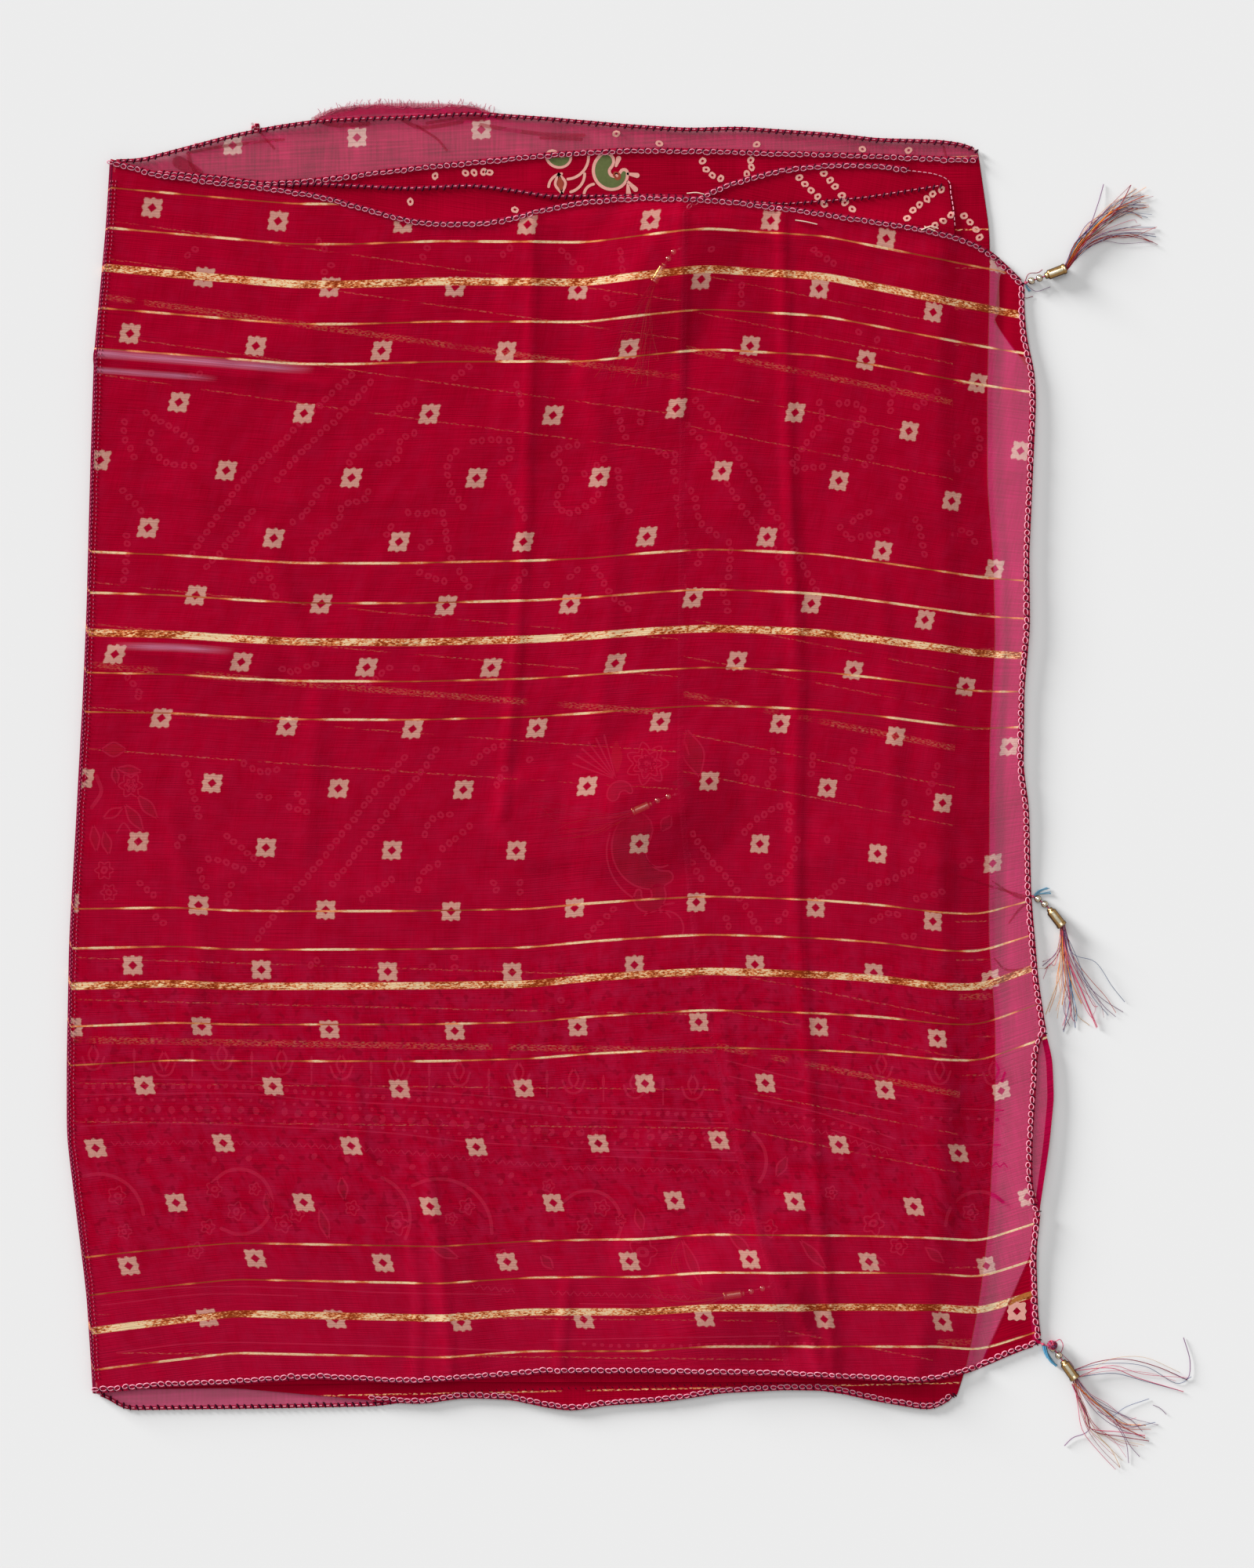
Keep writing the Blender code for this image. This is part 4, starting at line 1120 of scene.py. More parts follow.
for x in np.arange(FRAY_START, FRAY_END, 0.8):
    x = x + fray.uniform(-0.5, 0.5)
    foot = np.array((x, top_hem["E"](x) - 1.0, LOWEST_PLY))
    length = fray.uniform(1.5, 6.0)
    lean = fray.normal(0.0, 0.8, 2)
    line = [foot, foot + (lean[0], length * 0.6, 0.4), foot + (lean[0] + lean[1] * 1.6, length, 0.3)]
    sewing.tube(rounded_line(line, 3), 0.16, material=3)
for k in range(12):
    x = FRAY_START + k * 9.0 + fray.uniform(-2, 2)
    run = np.array([(x + d, top_hem["E"](x + d) + fray.uniform(-1.5, 1.0), LOWEST_PLY + 0.4)
                    for d in np.linspace(0, 16, 6)])
    sewing.tube(rounded_line(run, 3), 0.2, material=3)
for x, y, size in HEM_KNOTS:
    for turn_at in range(4):
        knot = [(x + size * math.cos(a + turn_at), y + size * 0.6 * math.sin(a * 1.3),
                 1.2 + 0.5 * math.sin(a)) for a in np.linspace(0, 5, 7)]
        sewing.tube(knot, 0.4, material=0 if turn_at == 1 else 2)
for points in LOOSE_BUNDLES:
    sewing.tube(rounded_line(points, 4), 0.5, material=5)
overlock_thread = ride(sewing.build("overlock_thread", seam_materials))

# Printed motifs that lie on the lower plies
PRINT_GAP = 0.12
RING_SPACING = 5.7
RING_RADIUS = 2.3
RING_HOLE = 0.85
ZIGZAG_HALF_WIDTH = 0.35
BEIGE, GREEN, RUST, GHOST_PINK, GHOST_GREEN, GHOST_RUST, TUCK, FLAP, SLIVER, BRONZE = range(10)


def lower_height(x, y):
    """Top of whichever ply lies next under the top one."""
    heights = {ply: lower_ply_height(ply, x, y) + PRINT_GAP for ply in "BCD"}
    height = np.where(x > hidden_end(y), heights["C"], heights["B"])
    return np.where(x > right_fold(y) - UPPER_FOLD_INSET - 2.0, heights["D"], height)


def ply_height(name):
    return lambda x, y: lower_ply_height(name, x, y) + PRINT_GAP


def above(height, gap):
    return lambda x, y: height(x, y) + gap


class Prints:
    """Flat printed shapes gathered into one mesh just above the plies."""

    def __init__(self, seed):
        self.points, self.faces, self.indices, self.count = [], [], [], 0
        self.rng = np.random.default_rng(seed)

    def band(self, inner, outer, height, ink, closed=True):
        count = len(inner)
        flat = np.concatenate((inner, outer))
        self.points.append(np.column_stack((flat, height(flat[:, 0], flat[:, 1]))))
        i = np.arange(count if closed else count - 1)
        after = (i + 1) % count
        quads = np.stack((i, count + i, count + after, after), axis=1) + self.count
        self.faces.append(quads)
        self.indices.append(np.full(len(quads), ink))
        self.count += 2 * count

    def ring(self, centre, height, ink, outer=RING_RADIUS, inner=RING_HOLE):
        angles = 2 * math.pi * np.arange(12) / 12
        wobble = 1.0 + 0.12 * np.cos(2 * angles + self.rng.uniform(0, 6.3)) + self.rng.normal(0, 0.06, 12)
        around = np.stack((np.cos(angles), np.sin(angles)), axis=1) * wobble[:, None]
        centre = np.asarray(centre) + self.rng.normal(0.0, 0.3, 2)
        self.band(centre + around * inner, centre + around * outer, height, ink)

    def ring_row(self, points, height, ink):
        line = rounded_line(on_sheet(points), 6)
        flat = np.column_stack((line, np.zeros(len(line))))
        spots, _ = resampled(np.vstack((flat, flat[-1] * 2 - flat[-2])), RING_SPACING)
        for spot in spots:
            self.ring(spot[:2], height, ink)

    def blob(self, points, height, ink):
        """A filled shape with a rounded outline."""
        corners = on_sheet(points)
        line = rounded_line(np.vstack((corners[-1], corners, corners[0], corners[1])), 5)[5:-6]
        middle = line.mean(axis=0)
        self.band(middle + (line - middle) * 0.01, line, height, ink)

    def square(self, middle, height, ink):
        """One of the undyed squares with its hole."""
        angles = np.linspace(0, 2 * math.pi, 64, endpoint=False)
        reach = SQUARE_REACH - SQUARE_NOTCH * np.cos(4 * angles) + SQUARE_RIPPLE * np.cos(8 * angles)
        ways = np.stack((np.cos(angles), np.sin(angles)), axis=1)
        hole = FLAT_SQUARE_HOLE / (np.abs(ways[:, 0]) + np.abs(ways[:, 1]))
        middle = on_sheet([middle])[0]
        self.band(middle + ways * hole[:, None], middle + ways * reach[:, None], height, ink)

    def stroke(self, points, widths, height, ink, steps=5):
        """A line of changing width with rounded ends. Widths are in pixels, one or one for each point."""
        widths = np.broadcast_to(np.asarray(widths, float), (len(points),)) * MM_PER_PIXEL
        line = rounded_line(np.column_stack((on_sheet(points), widths)), steps)
        line, half = line[:, :2], np.maximum(line[:, 2], 0.05) / 2
        ahead = np.gradient(line, axis=0)
        ahead /= np.linalg.norm(ahead, axis=1)[:, None] + 1e-9
        ends = []
        for end, way in ((0, -1.0), (-1, 1.0)):
            tips = [(line[end] + ahead[end] * way * half[end] * math.sin(a), half[end] * math.cos(a))
                    for a in (0.5, 1.0, 1.45)]
            ends.append(tips[::-1] if end == 0 else tips)
        middle = np.vstack(([tip[0] for tip in ends[0]], line, [tip[0] for tip in ends[1]]))
        half = np.concatenate(([tip[1] for tip in ends[0]], half, [tip[1] for tip in ends[1]]))
        ahead = np.vstack((np.repeat(ahead[:1], 3, 0), ahead, np.repeat(ahead[-1:], 3, 0)))
        side = np.stack((-ahead[:, 1], ahead[:, 0]), axis=1) * half[:, None]
        self.band(middle - side, middle + side, height, ink, closed=False)

    def curl(self, middle, radius, start, end, widths, height, ink, tighten=1.0):
        """A part of a spiral between two angles in degrees, its radius changing by the factor tighten."""
        share = np.linspace(0.0, 1.0, 9)
        angles = np.radians(start + (end - start) * share)
        reach = radius * (1.0 + (tighten - 1.0) * share)
        line = np.stack((np.cos(angles), np.sin(angles)), axis=1) * reach[:, None] + middle
        widths = np.interp(share, np.linspace(0.0, 1.0, np.size(widths)), np.atleast_1d(widths))
        self.stroke(line, widths, height, ink)

    def paisley(self, middle, size, start, end, height, fill, edge, outline):
        """A generic curled teardrop, a pale rim and a darker body, drawn by formula."""
        body = size * np.array((0.5, 0.5, 0.46, 0.4, 0.3, 0.16))
        self.curl(middle, size / 2, start, end, body + 2 * outline, height, edge, 0.8)
        self.curl(middle, size / 2, start, end, body, above(height, 0.05), fill, 0.8)

    def zigzag(self, points, height, ink, pitch=5.0, rise=1.5):
        line = on_sheet(points)
        flat = np.column_stack((line, np.zeros(len(line))))
        spots, ways = resampled(flat, pitch / 2)
        side = np.stack((-ways[:, 1], ways[:, 0]), axis=1)
        turned = spots[:, :2] + side * (rise * (-1.0) ** np.arange(len(spots)))[:, None]
        for start, end in zip(turned, turned[1:]):
            across = np.array((start[1] - end[1], end[0] - start[0]))
            across *= ZIGZAG_HALF_WIDTH / np.linalg.norm(across)
            self.band(np.array((start - across, end - across)), np.array((start + across, end + across)),
                      height, ink, closed=False)

    def dots(self, points, height, ink, pitch=5.0, radius=1.0):
        line = on_sheet(points)
        spots, _ = resampled(np.column_stack((line, np.zeros(len(line)))), pitch)
        for spot in spots:
            self.ring(spot[:2], height, ink, radius, 0.02)

    def leaf(self, start, end, width, height, fill=GHOST_GREEN, edge=GHOST_PINK, outline=2.4):
        """A pointed leaf between two pixels, with a pale outline."""
        start, end = np.array(start, float), np.array(end, float)
        side = np.array((start[1] - end[1], end[0] - start[0])) / np.linalg.norm(end - start)
        if edge is not None:
            for way in (-0.5, 0.5):
                bulge = (start + end) / 2 + side * width * way
                self.stroke((start, bulge, end), outline, height, edge, steps=8)
        if fill is not None:
            middle = (start + end) / 2
            self.stroke((start * 0.85 + end * 0.15, middle, start * 0.15 + end * 0.85),
                        (width * 0.25, width - outline * 1.6, width * 0.25), height, fill, steps=6)

    def flower(self, centre, radius, height, ink=GHOST_PINK, petals=6, width=2.0):
        centre = np.array(centre, float)
        angles = np.linspace(0, 2 * math.pi, petals * 4 + 1)
        reach = radius * (1.0 + 0.22 * np.cos(angles * petals))
        line = centre + np.stack((np.cos(angles), np.sin(angles)), axis=1) * reach[:, None]
        self.stroke(line, width, height, ink, steps=3)
        self.ring(on_sheet(centre), height, ink, radius * 0.25, radius * 0.1)

    def build(self, name, materials):
        return make_mesh(name, np.concatenate(self.points), np.concatenate(self.faces), materials,
                         np.concatenate(self.indices))


# Rows of dyed rings in the strips that lie open, by ply, in photo pixels read off along each row
OPEN_RINGS = {
    "E": (((783, 176), (789, 166)), ((773, 184), (774, 186)), ((793, 185), (794, 186)),
          ((845, 180), (838, 186)), ((970, 181), (960, 190)), ((1098, 185), (1104, 196)),
          ((1156, 188), (1166, 197)), ((1229, 197), (1231, 199))),
    "D": (((588, 220), (614, 220)), ((624, 215), (626, 228)), ((635, 233), (637, 236)),
          ((554, 219), (555, 231)), ((463, 234), (464, 236)), ((674, 208), (675, 210)),
          ((894, 201), (898, 212), (907, 223), (920, 229)), ((908, 235), (909, 237)),
          ((905, 200), (906, 201)),
          ((953, 201), (961, 211), (953, 219), (956, 231), (966, 236)), ((1024, 201), (1025, 203)),
          ((1225, 273), (1245, 292), (1253, 306))),
    "B": (((528, 254), (519, 262)), ((660, 264), (651, 275)), ((472, 254), (474, 256))),
    "C": (((1015, 224), (1032, 241), (1050, 260)), ((1046, 219), (1062, 235), (1086, 268)),
          ((1206, 242), (1194, 245), (1176, 259), (1158, 277)), ((1155, 264), (1156, 266)),
          ((1216, 272), (1207, 280), (1194, 288))),
}
# Rows of rings that show through the top ply, read off a copy of the photograph with more contrast
HIDDEN_RINGS = (
    ((476, 484), (446, 520), (396, 566), (354, 612)),
    ((454, 475), (418, 508), (352, 572), (314, 610), (286, 648), (248, 702)),
    ((326, 648), (304, 676), (280, 706), (266, 722)),
    ((534, 508), (510, 522), (497, 531)),
    ((534, 550), (512, 562), (506, 586), (478, 594)),
    ((490, 548), (462, 568), (446, 590)),
    ((472, 622), (466, 638), (440, 644), (430, 668), (402, 692), (399, 716)),
    ((422, 610), (404, 632), (392, 652), (374, 666)),
    ((598, 564), (622, 562), (650, 564), (650, 584), (634, 594)),
    ((586, 572), (572, 590), (574, 618), (590, 644)),
    ((642, 604), (654, 628), (668, 656)),
    ((516, 652), (540, 656), (563, 653), (568, 678), (576, 712)),
    ((502, 667), (495, 680)), ((534, 702), (552, 690)), ((584, 724), (600, 752)),
    ((530, 728), (556, 738), (568, 743)),
    ((182, 524), (206, 539), (238, 556), (252, 578)), ((160, 534), (160, 558), (172, 584)),
    ((194, 548), (193, 568), (216, 592), (252, 594)), ((154, 622), (174, 644), (184, 656)),
    ((164, 678), (163, 704), (158, 738)), ((576, 486), (596, 471)), ((658, 486), (664, 512)),
    ((654, 754), (670, 732)), ((692, 750), (702, 742)), ((190, 326), (192, 330)), ((236, 330), (250, 318)),
    ((276, 330), (278, 332)), ((638, 329), (650, 318)), ((546, 312), (541, 326)), ((592, 334), (604, 326)),
    ((404, 304), (414, 318)), ((318, 744), (334, 732)), ((340, 722), (352, 756)), ((160, 860), (180, 884)),
    ((238, 480), (262, 478)), ((196, 418), (198, 420)), ((268, 420), (270, 422)), ((410, 352), (424, 338)),
    ((356, 850), (372, 858), (404, 846)), ((456, 864), (470, 872), (500, 850)), ((530, 848), (536, 860)),
    ((884, 508), (902, 530), (942, 584), (978, 642), (1008, 690), (1036, 744)),
    ((872, 538), (894, 564), (916, 600), (942, 640), (966, 674), (990, 706), (1004, 738)),
    ((862, 574), (862, 612), (884, 630), (892, 664), (916, 685)),
    ((863, 630), (869, 674), (876, 700)), ((894, 702), (890, 718)), ((870, 732), (871, 752)),
    ((930, 686), (930, 732), (922, 750), (930, 784)),
    ((742, 568), (708, 576), (722, 606), (710, 640), (726, 656), (756, 640), (764, 626)),
    ((788, 594), (794, 642), (806, 656)), ((774, 582), (762, 594)), ((740, 606), (752, 604)),
    ((786, 520), (798, 558)), ((818, 522), (818, 538)), ((836, 572), (852, 582)),
    ((1044, 508), (1048, 538), (1026, 570), (1010, 598), (1044, 596)),
    ((1064, 516), (1090, 516), (1102, 530), (1082, 556), (1078, 588)),
    ((1118, 546), (1116, 570), (1102, 594)), ((1154, 606), (1150, 624), (1142, 638)),
    ((1112, 650), (1090, 664)), ((1068, 668), (1086, 688), (1130, 678)),
    ((1166, 658), (1176, 690), (1180, 712)), ((1140, 486), (1136, 522)), ((1156, 466), (1159, 478)),
    ((1200, 496), (1184, 510), (1170, 519)), ((1242, 532), (1250, 566), (1240, 592)),
    ((1222, 552), (1212, 580), (1222, 600)), ((1212, 684), (1230, 676), (1244, 692)),
    ((790, 316), (793, 342)), ((712, 316), (732, 336), (743, 347)), ((770, 376), (782, 388)),
    ((946, 360), (946, 386)), ((1030, 316), (1052, 330), (1064, 338)), ((906, 314), (910, 326)),
    ((932, 328), (934, 330)), ((842, 746), (846, 748)), ((756, 720), (780, 758), (800, 776)),
    ((724, 740), (736, 728)), ((958, 776), (960, 778)), ((954, 812), (956, 814)), ((836, 424), (840, 426)),
    ((1116, 430), (1120, 440)), ((1102, 774), (1104, 776)), ((876, 832), (880, 834)),
    ((1090, 420), (1094, 424)),
    ((520, 962), (484, 1004), (442, 1056), (410, 1098), (370, 1144), (344, 1178), (330, 1196)),
    ((560, 952), (538, 984), (494, 1036), (444, 1102), (422, 1130)),
    ((236, 970), (248, 1014), (256, 1046)), ((234, 1062), (228, 1076)),
    ((286, 1062), (308, 1082), (332, 1100)), ((262, 1094), (288, 1100), (308, 1108)),
    ((254, 1104), (266, 1136)), ((298, 1124), (290, 1148)), ((176, 1122), (200, 1144)),
    ((148, 1174), (150, 1178)), ((132, 1192), (134, 1196)), ((196, 1166), (210, 1178)),
    ((308, 970), (332, 985), (354, 981)), ((326, 1014), (342, 1017)), ((378, 1008), (388, 1026)),
    ((364, 1028), (394, 1037)), ((648, 950), (622, 956), (603, 978)), ((674, 962), (675, 976)),
    ((646, 976), (634, 1002)), ((580, 1038), (552, 1044), (539, 1068)),
    ((604, 1050), (586, 1066), (564, 1082)), ((564, 1100), (540, 1110), (532, 1138)),
    ((506, 1118), (484, 1132), (462, 1146)), ((628, 1120), (633, 1134)), ((664, 1120), (664, 1136)),
    ((542, 1174), (545, 1176)), ((550, 1226), (554, 1240)), ((580, 1216), (580, 1234)),
    ((410, 1220), (396, 1232)), ((362, 898), (364, 902)), ((440, 902), (446, 912)), ((174, 886), (184, 896)),
    ((882, 1058), (902, 1092), (934, 1128), (964, 1180)), ((874, 1086), (896, 1122)),
    ((924, 1166), (930, 1184)), ((946, 1066), (970, 1042), (996, 1028), (1010, 1030), (1006, 1058)),
    ((976, 1100), (986, 1127), (1008, 1106), (1017, 1074)), ((986, 952), (984, 996), (970, 998)),
    ((1038, 958), (1034, 988)), ((1090, 952), (1084, 986)), ((928, 952), (930, 956)),
    ((952, 958), (941, 984), (962, 996)), ((1180, 1074), (1164, 1096)),
    ((1168, 1108), (1130, 1124), (1112, 1130)), ((1078, 1120), (1046, 1146)), ((1240, 1092), (1226, 1106)),
    ((1206, 1136), (1172, 1145)), ((1052, 1066), (1060, 1078)), ((1154, 1018), (1156, 1044)),
    ((1196, 972), (1186, 1006)), ((1108, 1178), (1130, 1166), (1150, 1168)), ((1148, 1194), (1164, 1194)),
    ((990, 1178), (1002, 1164)), ((786, 1156), (754, 1190)), ((1040, 1050), (1044, 1052)),
    ((958, 1256), (960, 1260)), ((888, 1268), (890, 1270)), ((998, 1284), (1000, 1286)),
    ((712, 1276), (722, 1274)), ((1106, 1224), (1110, 1226)), ((146, 1264), (150, 1268)),
)



def at_lean(start, length, lean):
    """The point at a length and an angle in degrees from another, in pixels."""
    lean = math.radians(lean)
    return (start[0] + length * math.cos(lean), start[1] + length * math.sin(lean))


prints = Prints(31)
for ply, rows in OPEN_RINGS.items():
    for row in rows:
        prints.ring_row(row, ply_height(ply), BEIGE)
for row in HIDDEN_RINGS:
    prints.ring_row(row, lower_height, GHOST_PINK)

# The leaf scroll on the open strip of the middle ply
strip = ply_height("D")
PAISLEY_EYE = (787, 224)
LARGE_PAISLEY = ((783, 219), 33, 232, 10)
SMALL_PAISLEY = ((716, 196), 24, 160, 20)
RUST_LEAF = ((713, 222), (717, 247), 13)
BUDS = (((801, 222), 12, 10), ((801, 232), 14, 45), ((786, 212), 10, -70), ((801, 236), 12, 85))
TENDRILS = (((722, 200), 29, 0, 85), ((722, 222), 24, 0, 75), ((718, 240), 18, 185, 265),
            ((760, 250), 15, 190, 260))
prints.paisley(*LARGE_PAISLEY, strip, GREEN, BEIGE, 4.0)
for ink, outer, inner in ((RUST, 2.7, 1.0), (BEIGE, 1.1, 0.02)):
    prints.ring(on_sheet([PAISLEY_EYE])[0], above(strip, 0.1), ink, outer, inner)
prints.paisley(*SMALL_PAISLEY, strip, GREEN, BEIGE, 3.4)
prints.leaf(*RUST_LEAF, strip, RUST, BEIGE, 3.4)
for start, length, lean in BUDS:
    prints.stroke((start, at_lean(start, length, lean)), (3.2, 6.5), strip, BEIGE)
for middle, radius, start, end in TENDRILS:
    prints.curl(middle, radius, start, end, 3.5, strip, BEIGE)

# Tucks in the bare rear ply, and the free end's hem where it is folded under itself
bare = ply_height("E")
REAR_TUCKS = (
    (5, ((512, 152), (540, 163), (600, 154), (650, 150))), (4, ((545, 157), (590, 151), (640, 149))),
    (3, ((532, 161), (556, 176), (570, 192))), (5, ((605, 158), (650, 166), (700, 172), (745, 173))),
    (5, ((240, 195), (246, 214), (262, 227), (288, 226))), (4, ((240, 195), (290, 186), (362, 178))),
    (16, ((228, 207), (240, 214), (252, 222))), (3, ((322, 158), (338, 176), (350, 190))),
    (6, ((400, 152), (430, 160), (470, 158))), (4, ((690, 176), (742, 178))),
    (3, ((1204, 187), (1207, 200))),
)
for width, line in REAR_TUCKS:
    prints.stroke(line, width, bare, TUCK)
REAR_SLIVER = ((404, 150), (440, 142), (520, 138), (600, 141), (632, 149))
prints.stroke(REAR_SLIVER, (6, 12, 13, 12, 5), bare, SLIVER)
on_top = above(top_ply_height, PRINT_GAP)
STRIP_TUCKS = (
    ((1220, 1116), (1266, 1131), (1310, 1144)), ((1266, 1124), (1294, 1142), (1311, 1147)),
    ((1287, 1177), (1300, 1160), (1313, 1150)), ((1268, 1222), (1285, 1237), (1322, 1233)),
    ((1319, 1591), (1292, 1651), (1262, 1717)),
)
for line in STRIP_TUCKS:
    prints.stroke(line, (2, 3, 3), on_top, TUCK)
BRONZE_STRETCH = ((1288, 1662), (1302, 1654), (1316, 1649))
CORNER_SQUARE = (1297, 1672)
prints.stroke(BRONZE_STRETCH, (5, 6, 6), on_top, BRONZE)
prints.square(CORNER_SQUARE, on_top, BEIGE)
on_floor = lambda x, y: np.full_like(x, 0.25)
FLAPS = (
    ((1276, 352), (1290, 348), (1302, 366), (1306, 400), (1311, 440), (1301, 454), (1271, 412), (1275, 396)),
    ((1321, 1590), (1320, 1650), (1322, 1706), (1290, 1720), (1255, 1736), (1268, 1704), (1293, 1650)),
)
for outline in FLAPS:
    prints.blob(outline, on_floor, FLAP)

# Leaves and sprigs that show faintly through the top ply
ghost = lower_height
# Start, end and width in pixels, fill, edge and rise in millimetres
SPRAY_LEAVES = (
    ((876, 930), (893, 992), 27, GHOST_GREEN, GHOST_PINK, 0.0),
    ((872, 942), (880, 966), 7, GHOST_PINK, None, 0.05),
    ((856, 998), (884, 1000), 18, GHOST_GREEN, None, 0.0),
    ((786, 940), (788, 990), 18, GHOST_RUST, None, 0.0),
    ((844, 1060), (856, 1040), 14, GHOST_GREEN, GHOST_PINK, 0.0),
)
SPRAY_FLOWER = (826, 974)
for start, end, width, fill, edge, rise in SPRAY_LEAVES:
    prints.leaf(start, end, width, above(ghost, rise), fill, edge)
for radius in (9, 16, 23):
    prints.flower(SPRAY_FLOWER, radius, ghost, petals=7)
FAN_FOOT = (786, 994)
FAN_LENGTH = 58
for lean in range(200, 256, 11):
    prints.stroke((FAN_FOOT, at_lean(FAN_FOOT, FAN_LENGTH, lean)), (1.2, 2.6), ghost, GHOST_PINK)
# Middle, size, start and end angle, and outline of each paisley
GHOST_PAISLEYS = (((795, 1014), 26, 180, 330, 2.2), ((842, 1086), 84, 222, 75, 2.4),
                  ((826, 1142), 30, 330, 560, 2.4))
for middle, size, start, end, outline in GHOST_PAISLEYS:
    prints.paisley(middle, size, start, end, ghost, GHOST_GREEN, GHOST_PINK, outline)
GHOST_CURLS = (((842, 1086), 68, 200, 75), ((842, 1086), 20, 220, 60), ((850, 1184), 22, 250, 380),
               ((838, 1180), 20, 220, 330))
for middle, radius, start, end in GHOST_CURLS:
    prints.curl(middle, radius, start, end, 2.4, ghost, GHOST_PINK)
# Start, end, width and fill of the leaves of the sprig near the left fold
UPPER_SPRIG = (((130, 956), (162, 956), 18, GHOST_RUST), ((150, 980), (182, 984), 11, GHOST_GREEN),
               ((146, 978), (150, 1000), 9, GHOST_GREEN))
LOWER_SPRIG = (((176, 1014), (202, 1044), 14, GHOST_GREEN), ((160, 1026), (184, 1060), 14, GHOST_GREEN),
               ((132, 1044), (158, 1030), 11, None), ((120, 1052), (124, 1086), 12, GHOST_GREEN),
               ((134, 1060), (140, 1090), 12, GHOST_GREEN))
SPRIG_FLOWERS = (((168, 1002), 7), ((168, 1002), 13))
SPRIG_BUDS = (((134, 1110), 10), ((140, 1138), 9))
SPRIG_STEMS = ((2.2, ((150, 1062), (160, 1050), (176, 1076))), (5.0, ((124, 990), (130, 1010), (118, 1030))))
for leaves, flowers in ((UPPER_SPRIG, SPRIG_FLOWERS), (LOWER_SPRIG, SPRIG_BUDS)):
    for start, end, width, fill in leaves:
        prints.leaf(start, end, width, ghost, fill)
    for middle, radius in flowers:
        prints.flower(middle, radius, ghost)
for width, line in SPRIG_STEMS:
    prints.stroke(line, width, ghost, GHOST_PINK)

# The printed border under the lower part of the top ply
BORDER_LINES = (
    (1.6, ((104, 1376), (300, 1378), (490, 1388), (600, 1396), (720, 1407))),
    (1.8, ((104, 1396), (300, 1394), (400, 1402), (600, 1414), (720, 1424))),
    (1.8, ((104, 1436), (200, 1432), (340, 1436), (490, 1444), (600, 1456), (720, 1463))),
    (1.6, ((720, 1412), (870, 1414), (928, 1418))), (1.8, ((720, 1424), (928, 1432))),
    (1.8, ((720, 1464), (950, 1470))), (1.4, ((760, 1474), (950, 1480))),
    (1.6, ((926, 1352), (1038, 1380), (1158, 1398))), (1.6, ((930, 1372), (1040, 1396), (1150, 1420))),
    (1.8, ((938, 1396), (1042, 1418), (1142, 1452))), (1.6, ((1060, 1440), (1140, 1466))),
    (1.6, ((1170, 1412), (1280, 1416))), (1.8, ((1150, 1460), (1276, 1460))),
    (1.6, ((160, 1646), (300, 1640), (500, 1648), (640, 1650))),
    (1.6, ((130, 1664), (260, 1650), (380, 1652))),
    (1.6, ((740, 1662), (1000, 1666))), (1.4, ((740, 1668), (1000, 1672))),
    (1.8, ((150, 1724), (260, 1712), (420, 1714), (660, 1722))), (1.6, ((700, 1708), (1040, 1702))),
)
BORDER_ZIGZAGS = (
    ((140, 1458), (270, 1456), (400, 1461), (530, 1470), (650, 1483), (716, 1486)),
    ((716, 1489), (850, 1492), (956, 1495)), ((982, 1428), (1060, 1446), (1134, 1470)),
    ((1238, 1484), (1286, 1486)), ((700, 1648), (850, 1653), (930, 1656)), ((600, 1640), (660, 1646)),
)
BORDER_DOTS = (
    (5.6, 1.5, ((104, 1386), (300, 1385), (400, 1393), (600, 1405), (720, 1415))),
    (5.6, 1.5, ((722, 1417), (930, 1422))), (5.6, 1.3, ((740, 1714), (860, 1716), (1040, 1712))),
    (7.0, 1.1, ((104, 1402), (300, 1402), (600, 1424), (720, 1434))),
    (7.0, 1.1, ((104, 1428), (300, 1426), (600, 1446), (720, 1456))),
    (7.0, 1.1, ((722, 1440), (940, 1446))), (7.0, 1.1, ((722, 1456), (940, 1462))),
    (9.0, 2.4, ((120, 1415), (300, 1414), (560, 1431), (700, 1444), (930, 1452))),
    (6.0, 1.2, ((1170, 1424), (1280, 1428))), (6.0, 1.2, ((950, 1410), (1130, 1446))),
    (21.0, 2.0, ((170, 1480), (400, 1474), (660, 1500))), (16.0, 1.8, ((880, 1522), (1000, 1520))),
    (15.0, 1.6, ((1000, 1460), (1120, 1490))), (20.0, 1.8, ((620, 1500), (700, 1530))),
)
for width, line in BORDER_LINES:
    prints.stroke(line, width, ghost, GHOST_PINK, steps=10)
for line in BORDER_ZIGZAGS:
    prints.zigzag(line, ghost, GHOST_PINK)
for pitch, radius, line in BORDER_DOTS:
    prints.dots(line, ghost, GHOST_PINK, pitch, radius)
BORDER_CUPS = ((120, 1350), (210, 1358), (284, 1350), (360, 1356), (436, 1362), (510, 1366), (586, 1370),
               (662, 1372), (732, 1380), (810, 1386), (884, 1388), (1124, 1362), (1198, 1368), (1268, 1370))
for x, y in BORDER_CUPS:
    cup = ((x - 14, y - 2), (x - 9, y + 10), (x, y + 14), (x + 9, y + 10), (x + 14, y - 2))
    prints.stroke(cup, 3.0, ghost, GHOST_PINK)
    prints.leaf((x, y - 18), (x, y + 8), 12, ghost, None, GHOST_PINK, 3.0)
BORDER_DROPS = ((172, 1346), (246, 1348), (322, 1350), (398, 1356), (474, 1362), (548, 1366), (624, 1372),
                (698, 1374), (770, 1380), (846, 1384))
for x, y in BORDER_DROPS:
    prints.leaf((x, y - 12), (x, y + 10), 8, ghost, GHOST_PINK, None)
    prints.stroke(((x, y + 10), (x, y + 24)), 2.0, ghost, GHOST_PINK)
